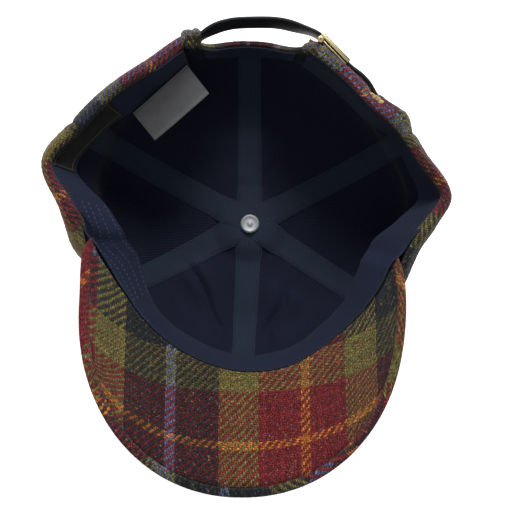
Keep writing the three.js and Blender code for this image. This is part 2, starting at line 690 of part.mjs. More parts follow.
// The frame lies behind the strap, with the hinge's pin along its left end.
function buckleFrame() {
  const width = BUCKLE.width - 2 * (BUCKLE.side + BUCKLE.gap);
  const behind = -(STRAP.thickness / 2 + BUCKLE.gap + BUCKLE.plate / 2);
  const left = HINGE.x + HINGE.ring + 0.2;
  const right = BUCKLE.length / 2 - 0.4;
  const plate = box(right - left, width, BUCKLE.plate, (left + right) / 2, 0, behind);
  const arms = [-1, 1].map((side) =>
    box(left - HINGE.x + 0.4, 1.2, BUCKLE.plate, (left + HINGE.x + 0.4) / 2, (side * (width - 1.2)) / 2, behind),
  );
  const pin = rod(HINGE.pin, BUCKLE.width, HINGE.x, 0, HINGE.z);
  return geometryOf(plate.add(arms[0]).add(arms[1]).add(pin));
}

// The plate closes over the strap, and its two sides turn round the pin.
function bucklePlate() {
  const front = STRAP.thickness / 2 + BUCKLE.gap;
  const depth = front + BUCKLE.plate + 1;
  const plate = box(BUCKLE.length, BUCKLE.width, BUCKLE.plate, 0, 0, front + BUCKLE.plate / 2);
  const sides = [-1, 1].flatMap((side) => {
    const y = (side * (BUCKLE.width - BUCKLE.side)) / 2;
    return [
      box(BUCKLE.length, BUCKLE.side, depth, 0, y, front + BUCKLE.plate - depth / 2),
      rod(HINGE.ring, BUCKLE.side, HINGE.x, y, HINGE.z),
    ];
  });
  const whole = sides.reduce((sum, part) => sum.add(part), plate);
  return geometryOf(whole.subtract(rod(HINGE.pin + 0.3, BUCKLE.width * 2, HINGE.x, 0, HINGE.z)));
}

buckle.add(add("buckle_frame", "brass", buckleFrame()));
buckle.add(add("buckle_plate", "brass", bucklePlate()));

// The tab is sewn to the outside of the crown beside the arch, and hooks round the pin.
function tabWall() {
  const off = -(LAYER_GAP + TAB.thickness / 2) - 0.3;
  const clear = HINGE.pin + 0.3 + TAB.thickness / 2;
  const roundPin = [-70, -45, -15, 20].map((turn) =>
    buckle
      .localToWorld(
        new THREE.Vector3(
          HINGE.x + clear * Math.cos(radians(turn)),
          0,
          HINGE.z + clear * Math.sin(radians(turn)),
        ),
      )
      .setZ(TAB.height),
  );
  const sewn = [71.6, 70.8, 70].map((angle) => atStrap(angle, off, TAB.height));
  const line = new THREE.CatmullRomCurve3([...sewn, ...roundPin], false, "centripetal");
  return bandAlong(line, TAB.width, TAB.thickness, 14);
}
add("buckle_tab", "tweed", tabWall());

// The covered button, and the rivet that holds it through the middle of the crown
function turned(outline) {
  const points = outline.map(([radius, height]) => new THREE.Vector2(radius, height));
  const geometry = new THREE.LatheGeometry(points, 20).rotateX(Math.PI / 2);
  geometry.deleteAttribute("normal");
  geometry.deleteAttribute("uv");
  return facingOut(mergeVertices(geometry, 1e-4));
}

function buttonCover() {
  const { radius, height } = BUTTON;
  return turned([
    [0, 0],
    [radius * 0.6, 0],
    [radius * 0.9, height * 0.22],
    [radius, height * 0.55],
    [radius * 0.9, height],
    [0, height],
  ]);
}

function buttonRivet() {
  const bottom = BUTTON.height + LAYER_GAP;
  const base = bottom + TAPE_DEPTH + TAPE + LAYER_GAP;
  const { radius, height, shank } = RIVET;
  return turned([
    [0, bottom],
    [shank, bottom],
    [shank, base],
    [radius, base],
    [radius, base + height * 0.7],
    [radius * 0.85, base + height],
    [radius * 0.66, base + height * 0.6],
    [radius * 0.3, base + height * 0.5],
    [radius * 0.22, base + height],
    [0, base + height],
  ]);
}

add("button_cover", "tweed", buttonCover());
add("button_rivet", "steel", buttonRivet());

// A folded care label stands out from under the sweatband, and a flat one is sewn on the band.
function careLabel() {
  const line = ([from, to], along) => new THREE.Vector3(...from).lerp(new THREE.Vector3(...to), along);
  const rows = [0, 0.12, 0.3, 0.5, 0.75, 1];
  const at = (along, down) => {
    const top = line(CARE_LABEL.top, along);
    const middle = top.clone().setZ(top.z - CARE_LABEL.hang);
    return new THREE.QuadraticBezierCurve3(top, middle, line(CARE_LABEL.bottom, along)).getPoint(down);
  };
  const along = line(CARE_LABEL.top, 1).sub(line(CARE_LABEL.top, 0)).normalize();
  const skin = (offset) =>
    evenly(0, 1, 2).map((share) =>
      rows.map((down) => {
        const step = at(share, Math.min(down + 0.05, 1)).sub(at(share, Math.max(down - 0.05, 0)));
        return at(share, down).addScaledVector(along.clone().cross(step).normalize(), offset);
      }),
    );
  return wall(skin(0), skin(CARE_LABEL.thickness));
}
add("label_care", "whiteLabel", careLabel());

function bandLabel() {
  const { from, to, thickness } = BAND_LABEL;
  const rows = [2.5, HEM_WIDTH, 20, BAND_WIDTH - 1.5];
  const skin = (depth) =>
    columnsBetween(from, to).map((angle) =>
      rows.map((fromRim) => bandPoint(angle, fromRim, BAND + 0.7 + depth)),
    );
  return wall(skin(0), skin(thickness));
}
add("label_woven", "blackLabel", bandLabel());

export default cap;
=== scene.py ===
import bmesh
import bpy
import numpy as np
from mathutils import Matrix, Vector, noise


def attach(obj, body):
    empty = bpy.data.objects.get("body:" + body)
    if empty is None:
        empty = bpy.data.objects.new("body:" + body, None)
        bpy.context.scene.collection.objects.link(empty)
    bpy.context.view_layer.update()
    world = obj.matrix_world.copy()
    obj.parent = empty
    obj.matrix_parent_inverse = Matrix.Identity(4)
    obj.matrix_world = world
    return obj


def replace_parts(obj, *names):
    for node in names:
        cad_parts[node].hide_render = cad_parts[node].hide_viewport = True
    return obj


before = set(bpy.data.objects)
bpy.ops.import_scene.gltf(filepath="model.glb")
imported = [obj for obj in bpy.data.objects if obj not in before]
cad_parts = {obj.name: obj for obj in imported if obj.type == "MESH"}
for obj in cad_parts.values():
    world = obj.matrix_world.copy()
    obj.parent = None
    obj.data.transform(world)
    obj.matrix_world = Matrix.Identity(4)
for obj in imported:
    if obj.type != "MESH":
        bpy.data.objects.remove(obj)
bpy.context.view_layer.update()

# The view
# The camera looks straight down into the cap on a long lens, from three quarters of a metre. The
# light is soft and from above, with a stronger share from behind the strap.
MM = 0.001
IMAGE_PIXELS = 512
SENSOR = 36
FOCAL_PIXELS = 1211
EYE = (3.74, -19.95, 760)


def in_scene(name, data):
    made = bpy.data.objects.new(name, data)
    bpy.context.scene.collection.objects.link(made)
    return made


lens = bpy.data.cameras.new("camera")
lens.sensor_width = SENSOR
lens.lens = SENSOR * FOCAL_PIXELS / IMAGE_PIXELS
lens.clip_start = 0.05
lens.clip_end = 20
camera = in_scene("camera", lens)
camera.location = Vector(EYE) * MM
bpy.context.scene.camera = camera
bpy.context.scene.view_settings.view_transform = "Standard"


def node(tree, kind, inputs=None, **settings):
    made = tree.nodes.new(kind)
    for key, value in settings.items():
        setattr(made, key, value)
    for key, value in (inputs or {}).items():
        if isinstance(value, bpy.types.NodeSocket):
            tree.links.new(value, made.inputs[key])
        else:
            made.inputs[key].default_value = value
    return made


def lit_world(brightness):
    world = bpy.data.worlds.new("soft_room")
    world.use_nodes = True
    background = world.node_tree.nodes["Background"]
    background.inputs["Color"].default_value = (1, 1, 1, 1)
    background.inputs["Strength"].default_value = brightness
    bpy.context.scene.world = world


def soft_light(name, place, aim, size, power):
    light = bpy.data.lights.new(name, "AREA")
    light.shape = "DISK"
    light.size = size
    light.energy = power
    lamp = in_scene(name, light)
    lamp.location = place
    lamp.rotation_euler = (Vector(place) - Vector(aim)).to_track_quat("Z", "Y").to_euler()


lit_world(0.22)
soft_light("light_behind_strap", (0.1, 1.15, 1.15), (0, -0.05, 0.08), 0.5, 18)
soft_light("light_over_peak", (-0.2, -0.5, 1.5), (0, -0.05, 0.1), 1.0, 2)

FLOOR_SIZE = 6


def new_material(name, constants):
    """A material with some constants of its shader set, then its nodes and that shader."""
    material = bpy.data.materials.new(name)
    material.use_nodes = True
    shader = material.node_tree.nodes["Principled BSDF"]
    for key, value in constants.items():
        shader.inputs[key].default_value = value
    return material, material.node_tree, shader


half = FLOOR_SIZE / 2
corners = [(-half, -half, 0), (half, -half, 0), (half, half, 0), (-half, half, 0)]
floor_mesh = bpy.data.meshes.new("floor")
floor_mesh.from_pydata(corners, [], [(0, 1, 2, 3)])
floor_paint, _, _ = new_material("pale_floor", {
    "Base Color": (0.9, 0.9, 0.9, 1),
    "Roughness": 0.9,
    "Emission Color": (1, 1, 1, 1),
    "Emission Strength": 1.0,
})
floor_mesh.materials.append(floor_paint)
floor = in_scene("floor", floor_mesh)

# The crown's form
# Each row is a line up the crown at one angle round the button. The cloth runs out from the
# button along the surface that the cap lies on, up the side and on to the rim.
ROUND = np.array([
    # angle, the rim's radius and height, the body's radius, how far the side swells out, and how
    # far the sweatband's lower edge leans in
    (7, 110.5, 95, 96, 5, 2),
    (20, 101, 98, 96, 5.5, 1),
    (32, 97.4, 99, 95, 6.2, 1),
    (43, 95.4, 100, 94, 0.5, 1),
    (58, 98, 100, 96, 0.5, 1),
    (72, 102.8, 100, 100.5, 0.5, 1),
    (90, 106, 100, 106, 1, 1),
    (108, 107.4, 100, 102, 0.5, 1),
    (122, 103.8, 100, 99, 1, 4),
    (136, 104.6, 99, 98, 4.8, 6),
    (151, 107.6, 97, 97, 7.6, 3),
    (164, 116.4, 95, 97, 6.5, 2),
    (176, 104.4, 97, 93, 2.5, 10),
    (188, 93.6, 100, 90, 8, 17),
    (202, 86, 100, 86, 4, 12),
    (222, 87, 100, 86, 3, 6),
    (245, 89, 100, 87, 2, 4),
    (268, 91.4, 100, 89, 2, 4),
    (290, 90.6, 100, 88, 2, 4),
    (312, 88.8, 100, 87, 3, 6),
    (334, 89.4, 100, 87, 4.5, 13),
    (350, 91.2, 98, 89, 6, 17),
    (358, 99.9, 96.6, 92, 5.5, 10),
])
COLUMNS = {"radius": 1, "height": 2, "body": 3, "swell": 4, "lean": 5}
BELLY_HEIGHT = 52
BACK_BELLY = 9
PRESSED_DEPTH = 9
PRESS_BLEND = 5
SQUARENESS = {"side": 2.35, "back": -0.3, "front": 0.45}
BUTTON_HEIGHT = 5
LAYER_GAP = 0.4
TIP_RADIUS = 3.4
PEAK_THICKNESS = 5.4
PEAK_MIDDLE = {"x": -3.2, "y": -85.3, "height": 78}
PEAK_BOW = 115
PEAK_RISE = 0.325


def smooth(start, end, value):
    """0 up to start, 1 from end on, and an even step between them."""
    t = np.clip((value - start) / (end - start), 0, 1)
    return t * t * (3 - 2 * t)


def around(column, angle):
    """A column of the table at an angle, on a smooth line through its rows."""
    at = np.concatenate([ROUND[-2:, 0] - 360, ROUND[:, 0], ROUND[:3, 0] + 360])
    value = ROUND[:, COLUMNS[column]]
    value = np.concatenate([value[-2:], value, value[:3]])
    slope = (value[2:] - value[:-2]) / (at[2:] - at[:-2])
    turned = (np.asarray(angle, float) - ROUND[0, 0]) % 360 + ROUND[0, 0]
    k = np.searchsorted(at, turned, side="right") - 1
    width = at[k + 1] - at[k]
    t = (turned - at[k]) / width
    rise = value[k + 1] - value[k]
    first = slope[k - 1] * width
    last = slope[k] * width
    bend = t * t * (3 * rise - 2 * first - last)
    return value[k] + t * first + bend + t**3 * (first + last - 2 * rise)


def peak_height(x, y):
    """How high the side of the peak that faces up lies, over a place in plan."""
    side = np.clip(x - PEAK_MIDDLE["x"], -PEAK_BOW * 0.95, PEAK_BOW * 0.95)
    bow = PEAK_BOW - np.sqrt(PEAK_BOW * PEAK_BOW - side * side)
    return PEAK_MIDDLE["height"] + bow + PEAK_RISE * (PEAK_MIDDLE["y"] - y)


def rim_height(angle):
    """How high the rim lies. It dips under the peak where the two are sewn together."""
    radius = around("radius", angle)
    y = radius * np.sin(np.radians(angle))
    free = around("height", angle)
    under_peak = peak_height(radius * np.cos(np.radians(angle)), y) - PEAK_THICKNESS - 3 * LAYER_GAP
    rounding = 6
    near = np.maximum(rounding - np.abs(free - under_peak), 0) / rounding
    joined = np.minimum(free, under_peak) - near * near * rounding / 4
    return joined + (free - joined) * smooth(-6, 6, y)


def pressed(height):
    """A height of the cloth once the cap's weight has pressed it flat on the table."""
    blended = (height + PRESS_BLEND) ** 2 / (4 * PRESS_BLEND)
    return np.where(height <= -PRESS_BLEND, 0, np.where(height < PRESS_BLEND, blended, height))


def profile(angle):
    """The line up the crown at an angle: its radii and heights, and its length up to each."""
    body, rim, swell = (around(column, angle) for column in ("body", "radius", "swell"))
    back = max(0, np.sin(np.radians(angle)))
    front = max(0, -np.sin(np.radians(angle)))
    belly = BELLY_HEIGHT + BACK_BELLY * back * back
    power = 2 / (SQUARENESS["side"] + SQUARENESS["back"] * back + SQUARENESS["front"] * front)
    turn = np.linspace(0, np.pi / 2, 61)
    share = np.linspace(0, 1, 31)[1:]
    low = -PRESSED_DEPTH + (belly + PRESSED_DEPTH) * (1 - np.maximum(np.cos(turn), 0) ** power)
    side = body + (rim - body) * smooth(0, 1, share) + swell * 6.75 * share * share * (1 - share)
    radius = np.concatenate([body * np.sin(turn) ** power, side])
    height = np.concatenate([low, belly + (rim_height(angle) - belly) * share])
    dimple = (BUTTON_HEIGHT + LAYER_GAP) * (1 - smooth(9.5, 25, radius))
    height = pressed(height) + dimple
    length = np.concatenate([[0], np.cumsum(np.hypot(np.diff(radius), np.diff(height)))])
    return radius, height, length


# A table of the whole crown, by angle and distance from the rim, that every layer is read from
TURN_STEP = 0.5
REACH_STEP = 0.5
REACH = np.arange(-10, 190, REACH_STEP)
OVERRUN = 12
turns = np.arange(0, 360, TURN_STEP)
crown_radius = np.zeros((len(turns), len(REACH)))
crown_height = np.zeros_like(crown_radius)
crown_length = np.zeros(len(turns))
for row, turn in enumerate(turns):
    radius, height, length = profile(turn)
    crown_length[row] = length[-1]
    run = (length[-1] - length[-2]) / OVERRUN
    radius = np.append(radius, radius[-1] + (radius[-1] - radius[-2]) / run)
    height = np.append(height, height[-1] + (height[-1] - height[-2]) / run)
    from_tip = crown_length[row] - REACH
    length = np.append(length, length[-1] + OVERRUN)
    crown_radius[row] = np.interp(from_tip, length, radius)
    crown_height[row] = np.interp(from_tip, length, height)


def length_of(angle):
    """How long the cloth is from the middle of the crown to the rim."""
    spot = (np.asarray(angle, float) % 360) / TURN_STEP
    i = spot.astype(int)
    f = spot - i
    return crown_length[i % len(turns)] * (1 - f) + crown_length[(i + 1) % len(turns)] * f


def on_crown(angle, from_rim):
    """A point of the crown's outside, at an angle and at a distance from the rim."""
    angle, from_rim = np.broadcast_arrays(np.asarray(angle, float), np.asarray(from_rim, float))
    spot = (angle % 360) / TURN_STEP
    i = spot.astype(int)
    f = spot - i
    i, after = i % len(turns), (i + 1) % len(turns)
    reach = np.clip((from_rim - REACH[0]) / REACH_STEP, 0, len(REACH) - 1.001)
    j = reach.astype(int)
    g = reach - j
    both = []
    for table in (crown_radius, crown_height):
        low = table[i, j] * (1 - g) + table[i, j + 1] * g
        high = table[after, j] * (1 - g) + table[after, j + 1] * g
        both.append(low * (1 - f) + high * f)
    radius, height = both
    turn = np.radians(angle)
    return np.stack([radius * np.cos(turn), radius * np.sin(turn), height], -1)


def unit(vector):
    return vector / np.maximum(np.linalg.norm(vector, axis=-1, keepdims=True), 1e-9)


def into_crown(angle, from_rim):
    """The direction square to the cloth and into the cap."""
    step = 0.6
    across = on_crown(angle + step, from_rim) - on_crown(angle - step, from_rim)
    along = on_crown(angle, from_rim - step) - on_crown(angle, from_rim + step)
    return unit(np.cross(along, across))


def in_crown(angle, from_rim, depth):
    """A point at a depth within the crown, under a point of its outside."""
    depth = np.asarray(depth, float)
    return on_crown(angle, from_rim) + into_crown(angle, from_rim) * depth[..., None]


def ripple(points, wavelength, seed):
    """Smooth noise from -1 to 1 at each point, with bumps about one wavelength across."""
    shift = Vector((seed * 17.3, seed * -9.1, seed * 4.7))
    flat = points.reshape(-1, points.shape[-1]) / wavelength
    if flat.shape[1] == 2:
        flat = np.column_stack([flat, np.zeros(len(flat))])
    values = [noise.noise(Vector(point) + shift) for point in flat.tolist()]
    return np.array(values).reshape(points.shape[:-1])


# Plaid tweed
# The cloth is woven from thick wool yarn, over two and under two, in stripes of dark wool, olive
# and red both ways. Its yarns are spun from mixed wool, so each one changes in tone along it.
WARP_PITCH = 1.12
WEFT_PITCH = 1.16
YARNS = {
    # yarn: its two tones, in daylight
    "dark": ((34, 38, 51), (50, 53, 47)),
    "blue": ((100, 106, 150), (84, 96, 112)),
    "olive": ((120, 121, 62), (128, 98, 58)),
    "red": ((142, 35, 46), (116, 46, 46)),
    "orange": ((228, 138, 48), (196, 100, 48)),
}
WARP_STRIPES = [
    # start in mm, yarn
    (0, "dark"),
    (26.7, "blue"),
    (32.5, "dark"),
    (56.9, "olive"),
    (79.3, "red"),
    (103, "orange"),
    (108.8, "red"),
    (129.4, "olive"),
]
WARP_SETT = 149.8
WEFT_STRIPES = [
    # start in mm, yarn
    (0, "dark"),
    (28, "blue"),
    (33.6, "dark"),
    (61, "olive"),
    (82.5, "red"),
    (110.1, "orange"),
    (114.7, "red"),
    (138.5, "olive"),
]
WEFT_SETT = 160
RED_MIDDLE = 105.9
YARNS_IN_TWILL = 4
KNOTS = (150, 122, 70), (112, 104, 130)


def paint(colour):
    """A daylight colour from 0 to 255 as the shader's own colour."""
    share = np.array(colour, float) / 255
    straight = np.where(share <= 0.04045, share / 12.92, ((share + 0.055) / 1.055) ** 2.4)
    return (*straight, 1)


def calc(tree, operation, a, b=0.0, c=0.0):
    return node(tree, "ShaderNodeMath", {0: a, 1: b, 2: c}, operation=operation).outputs[0]


def blend_colour(tree, share, a, b, kind="MIX"):
    inputs = {0: share, 6: a, 7: b}
    return node(tree, "ShaderNodeMix", inputs, data_type="RGBA", blend_type=kind).outputs[2]


def shaded(tree, colour, *factors):
    """A colour times some factors, which may be over 1."""
    for factor in factors:
        colour = blend_colour(tree, 1.0, colour, factor, "MULTIPLY")
    return colour


def noise_at(tree, place, scale, detail, roughness=0.5):
    """Noise at a place, as a value and then as a colour."""
    inputs = {"Vector": place, "Scale": scale, "Detail": detail, "Roughness": roughness}
    return node(tree, "ShaderNodeTexNoise", inputs).outputs


def ranged(tree, value, low, high, at_low=0.0, at_high=1.0):
    """A value between two others moved in step to between two more, and held at its ends."""
    inputs = {0: value, 1: low, 2: high, 3: at_low, 4: at_high}
    return node(tree, "ShaderNodeMapRange", inputs).outputs[0]


def bumped(tree, shader, height, distance, strength):
    """The surface raised by a height, over a distance in mm."""
    inputs = {"Height": height, "Distance": distance * MM, "Strength": strength}
    tree.links.new(node(tree, "ShaderNodeBump", inputs).outputs[0], shader.inputs["Normal"])


def stripes(tree, place, table, sett, tone):
    """The plaid's colour at a place across the stripes, in one of its two tones."""
    share = calc(tree, "FLOORED_MODULO", calc(tree, "DIVIDE", place, sett), 1)
    ramp = node(tree, "ShaderNodeValToRGB", {0: share})
    ramp.color_ramp.interpolation = "CONSTANT"
    elements = ramp.color_ramp.elements
    while len(elements) < len(table):
        elements.new(0.5)
    for element, (start, _) in zip(elements, table):
        element.position = start / sett
    for element, (_, yarn) in zip(elements, table):
        element.color = paint(YARNS[yarn][tone])
    return ramp.outputs[0]


def yarn_colour(tree, place, table, sett, number, along, seed):
    """A yarn's colour, whose tone changes along it and which differs a little from the next."""
    beside = calc(tree, "MULTIPLY", number, 3.7)
    spot = node(tree, "ShaderNodeCombineXYZ", {0: beside, 1: along, 2: seed}).outputs[0]
    share = ranged(tree, noise_at(tree, spot, 0.55, 2)[0], 0.4, 0.62)
    colour = blend_colour(tree, share, *(stripes(tree, place, table, sett, tone) for tone in (0, 1)))
    chance = {"W": calc(tree, "ADD", number, seed)}
    chance = node(tree, "ShaderNodeTexWhiteNoise", chance, noise_dimensions="1D").outputs[0]
    return shaded(tree, colour, ranged(tree, chance, 0, 1, 0.78, 1.2))


def vector_calc(tree, operation, a, b):
    return node(tree, "ShaderNodeVectorMath", {0: a, 1: b}, operation=operation).outputs[0]


def cloth_place(tree):
    """A point's place in the cloth in mm, moved a little so that no yarn runs quite straight."""
    place = node(tree, "ShaderNodeAttribute", attribute_name="cloth").outputs["Vector"]
    wobble = vector_calc(tree, "SUBTRACT", noise_at(tree, place, 0.16, 1)[1], (0.5, 0.5, 0.5))
    return vector_calc(tree, "ADD", place, vector_calc(tree, "MULTIPLY", wobble, (1.6, 1.6, 0)))


def hump(tree, share, power):
    """A yarn's round back, from one side of it to the other."""
    centred = calc(tree, "ABSOLUTE", calc(tree, "MULTIPLY_ADD", share, 2, -1))
    return calc(tree, "SUBTRACT", 1, calc(tree, "POWER", centred, power))


def plaid_tweed():
    material, tree, shader = new_material("plaid_tweed", {
        "Roughness": 0.92,
        "Specular IOR Level": 0.2,
        "Sheen Weight": 0.12,
        "Sheen Roughness": 0.6,
    })
    cloth = cloth_place(tree)
    x, y, _ = node(tree, "ShaderNodeSeparateXYZ", {0: cloth}).outputs
    u = calc(tree, "DIVIDE", x, WARP_PITCH)
    v = calc(tree, "DIVIDE", y, WEFT_PITCH)
    warp, weft = calc(tree, "FLOOR", u), calc(tree, "FLOOR", v)
    in_warp, in_weft = calc(tree, "FRACT", u), calc(tree, "FRACT", v)
    step = calc(tree, "FLOORED_MODULO", calc(tree, "ADD", warp, weft), YARNS_IN_TWILL)
    warp_on_top = calc(tree, "LESS_THAN", step, 1.5)
    along_warp = calc(tree, "MULTIPLY", calc(tree, "ADD", step, in_weft), 0.5)
    along_weft = calc(tree, "SUBTRACT", calc(tree, "ADD", step, in_warp), 2)
    along_weft = calc(tree, "MULTIPLY", along_weft, 0.5)
    warp_hump = calc(tree, "MULTIPLY", hump(tree, in_warp, 2.4), hump(tree, along_warp, 3))
    weft_hump = calc(tree, "MULTIPLY", hump(tree, in_weft, 2.4), hump(tree, along_weft, 3))
    heights = {0: warp_on_top, 2: weft_hump, 3: warp_hump}
    hump_height = node(tree, "ShaderNodeMix", heights).outputs[0]

    warp_colour = yarn_colour(tree, x, WARP_STRIPES, WARP_SETT, warp, y, 3.5)
    weft_colour = yarn_colour(tree, y, WEFT_STRIPES, WEFT_SETT, weft, x, 77.5)
    warp_light = node(tree, "ShaderNodeRGBToBW", {0: warp_colour}).outputs[0]
    weft_colour = shaded(tree, weft_colour, ranged(tree, warp_light, 0.025, 0.06, 0.52, 1))
    fibres = noise_at(tree, cloth, 1.5, 3)[0]
    strayed = calc(tree, "MULTIPLY_ADD", calc(tree, "SUBTRACT", fibres, 0.5), 1.5, warp_on_top)
    share = ranged(tree, strayed, 0.25, 0.75, 0.07, 0.93)
    colour = blend_colour(tree, share, weft_colour, warp_colour)

    patches = noise_at(tree, cloth, 0.42, 2)
    knotted = ranged(tree, noise_at(tree, cloth, 0.62, 1)[0], 0.64, 0.7, 0, 0.6)
    green = node(tree, "ShaderNodeSeparateColor", {0: patches[1]}).outputs[1]
    knot = blend_colour(tree, ranged(tree, green, 0.46, 0.54), paint(KNOTS[0]), paint(KNOTS[1]))
    colour = blend_colour(tree, knotted, colour, knot)
    # The yarns are darkened towards their edges and in the gaps between them, where shade falls:
    # painted shade.
    shade = ranged(tree, hump_height, 0, 0.8, 0.36, 1.06)
    fleck = ranged(tree, noise_at(tree, cloth, 1.1, 5)[0], 0.3, 0.7, 0.1, 1.9)
    patchy = ranged(tree, patches[0], 0.33, 0.67, 0.76, 1.24)
    tree.links.new(shaded(tree, colour, shade, fleck, patchy), shader.inputs["Base Color"])
    height = calc(tree, "ADD", hump_height, calc(tree, "MULTIPLY", fibres, 0.5))
    bumped(tree, shader, height, 0.3, 0.9)
    return material


TWEED_CLOTH = plaid_tweed()


def wales(cloth, height):
    """How far the diagonal ribs of the weave stand out, in mm."""
    turn = 2 * np.pi * (cloth[..., 0] / WARP_PITCH + cloth[..., 1] / WEFT_PITCH) / 4
    return height * (np.cos(turn) + 0.6 * ripple(cloth[..., :2], 3.1, 5))


def wall(name, outer, inner, material, cloth=None, sharp=50):
    """A closed sheet between two grids of points in mm, columns by rows, as a finished mesh."""
    columns, rows = outer.shape[:2]
    places = np.concatenate([outer.reshape(-1, 3), inner.reshape(-1, 3)]) * MM
    a = np.arange(columns * rows).reshape(columns, rows)
    b = a + columns * rows

    def quads(p, q, r, s):
        return np.stack([p, q, r, s], -1).reshape(-1, 4)

    faces = np.concatenate([
        quads(a[:-1, :-1], a[1:, :-1], a[1:, 1:], a[:-1, 1:]),
        quads(b[:-1, 1:], b[1:, 1:], b[1:, :-1], b[:-1, :-1]),
        quads(a[1:, 0], a[:-1, 0], b[:-1, 0], b[1:, 0]),
        quads(a[:-1, -1], a[1:, -1], b[1:, -1], b[:-1, -1]),
        quads(a[0, :-1], a[0, 1:], b[0, 1:], b[0, :-1]),
        quads(a[-1, 1:], a[-1, :-1], b[-1, :-1], b[-1, 1:]),
    ])
    corner = places[faces]
    first = np.cross(corner[:, 1], corner[:, 2])
    second = np.cross(corner[:, 2], corner[:, 3])
    if np.einsum("ij,ij->", corner[:, 0], first + second) < 0:
        faces = faces[:, ::-1]
    mesh = bpy.data.meshes.new(name)
    mesh.from_pydata(places.tolist(), [], faces.tolist())
    if cloth is not None:
        shown = np.repeat([1.0, 0.0], columns * rows)
        spots = np.column_stack([np.concatenate([layer.reshape(-1, 2) for layer in cloth]), shown])
        mark_cloth(mesh, spots)
    return finished(name, mesh, material, sharp)


def mark_cloth(mesh, spots):
    """Each point's place in its cloth in mm, and 1 where that side of the cloth shows."""
    values = np.asarray(spots, np.float32).ravel()
    mesh.attributes.new("cloth", "FLOAT_VECTOR", "POINT").data.foreach_set("vector", values)


def finished(name, mesh, material, sharp=50):
    mesh.shade_smooth()
    mesh.set_sharp_from_angle(angle=np.radians(sharp))
    mesh.materials.clear()
    mesh.materials.append(material)
    piece = in_scene(name, mesh)
    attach(piece, "root")
    return piece


def new_tree(name, values):
    tree = bpy.data.node_groups.new(name, "GeometryNodeTree")
    tree.interface.new_socket("Geometry", in_out="INPUT", socket_type="NodeSocketGeometry")
    for value, kind in values.items():
        tree.interface.new_socket(value, in_out="INPUT", socket_type="NodeSocket" + kind)
    tree.interface.new_socket("Geometry", in_out="OUTPUT", socket_type="NodeSocketGeometry")
    return tree, node(tree, "NodeGroupInput").outputs


def end_tree(tree, placed, material, rounded=False):
    """The last nodes of a tree: what is placed becomes one plain mesh in one material."""
    inputs = {"Points": placed[0], "Instance": placed[1], "Rotation": placed[2], "Scale": placed[3]}
    made = node(tree, "GeometryNodeInstanceOnPoints", inputs).outputs[0]
    made = node(tree, "GeometryNodeRealizeInstances", {"Geometry": made}).outputs[0]
    if rounded:
        made = node(tree, "GeometryNodeSetShadeSmooth", {"Geometry": made}).outputs[0]
    made = node(tree, "GeometryNodeSetMaterial", {"Geometry": made, "Material": material}).outputs[0]
    node(tree, "NodeGroupOutput", {"Geometry": made})


FUZZ = {"density": 0.155, "length": 1.6, "thickness": 0.027, "lean": 0.95, "above": 2.5}


def fuzz_tree():
    """Short bent fibres that stand out of the side of a cloth that shows."""
    given_types = {"Density": "Float", "Length": "Float", "Seed": "Int", "Wool": "Material"}
    tree, given = new_tree("fuzz", given_types)
    cloth = {"Name": "cloth"}
    cloth = node(tree, "GeometryNodeInputNamedAttribute", cloth, data_type="FLOAT_VECTOR").outputs[0]
    shown = node(tree, "ShaderNodeSeparateXYZ", {0: cloth}).outputs[2]
    place = node(tree, "GeometryNodeInputPosition").outputs[0]
    height = node(tree, "ShaderNodeSeparateXYZ", {0: place}).outputs[2]
    raised = calc(tree, "GREATER_THAN", height, FUZZ["above"] * MM)
    shown = calc(tree, "MULTIPLY", raised, calc(tree, "GREATER_THAN", shown, 0.99))
    density = calc(tree, "MULTIPLY", shown, given["Density"])
    spread = {"Mesh": given["Geometry"], "Density": density, "Seed": given["Seed"]}
    roots = node(tree, "GeometryNodeDistributePointsOnFaces", spread).outputs
    bend = {"Resolution": 2, "Start": (0, 0, -0.1), "Middle": (0, 0, 0.7), "End": (0.5, 0, 0.95)}
    fibre = node(tree, "GeometryNodeCurveQuadraticBezier", bend).outputs[0]
    section = {"Resolution": 3, "Radius": FUZZ["thickness"]}
    section = node(tree, "GeometryNodeCurvePrimitiveCircle", section).outputs[0]
    fibre = {"Curve": fibre, "Profile Curve": section}
    fibre = node(tree, "GeometryNodeCurveToMesh", fibre).outputs[0]
    lean = FUZZ["lean"]
    lean = {0: (-lean, -lean, 0), 1: (lean, lean, 6.28), "Seed": given["Seed"]}
    lean = node(tree, "FunctionNodeRandomValue", lean, data_type="FLOAT_VECTOR").outputs[0]
    lean = node(tree, "FunctionNodeEulerToRotation", {0: lean}).outputs[0]
    facing = {0: roots["Rotation"], 1: lean}
    facing = node(tree, "FunctionNodeRotateRotation", facing, rotation_space="LOCAL").outputs[0]
    size = {2: 0.4, 3: 1.3, "Seed": given["Seed"]}
    size = node(tree, "FunctionNodeRandomValue", size, data_type="FLOAT").outputs[1]
    size = calc(tree, "MULTIPLY", size, given["Length"])
    end_tree(tree, (roots["Points"], fibre, facing, size), given["Wool"])
    return tree


FUZZ_TREE = fuzz_tree()


def baked(piece, tree, values):
    """The piece with a node tree's result as its plain mesh."""
    modifier = piece.modifiers.new(tree.name, "NODES")
    modifier.node_group = tree
    for item in tree.interface.items_tree:
        if item.in_out == "INPUT" and item.name in values:
            modifier[item.identifier] = values[item.name]
    depsgraph = bpy.context.evaluated_depsgraph_get()
    mesh = bpy.data.meshes.new_from_object(piece.evaluated_get(depsgraph))
    piece.modifiers.clear()
    piece.data = mesh
    return piece


def fuzz(cloth_piece, seed):
    piece = in_scene("fuzz_" + cloth_piece.name, cloth_piece.data)
    density, length = FUZZ["density"] / MM**2, FUZZ["length"] * MM
    baked(piece, FUZZ_TREE, {"Density": density, "Length": length, "Seed": seed, "Wool": TWEED_CLOTH})
    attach(piece, "root")


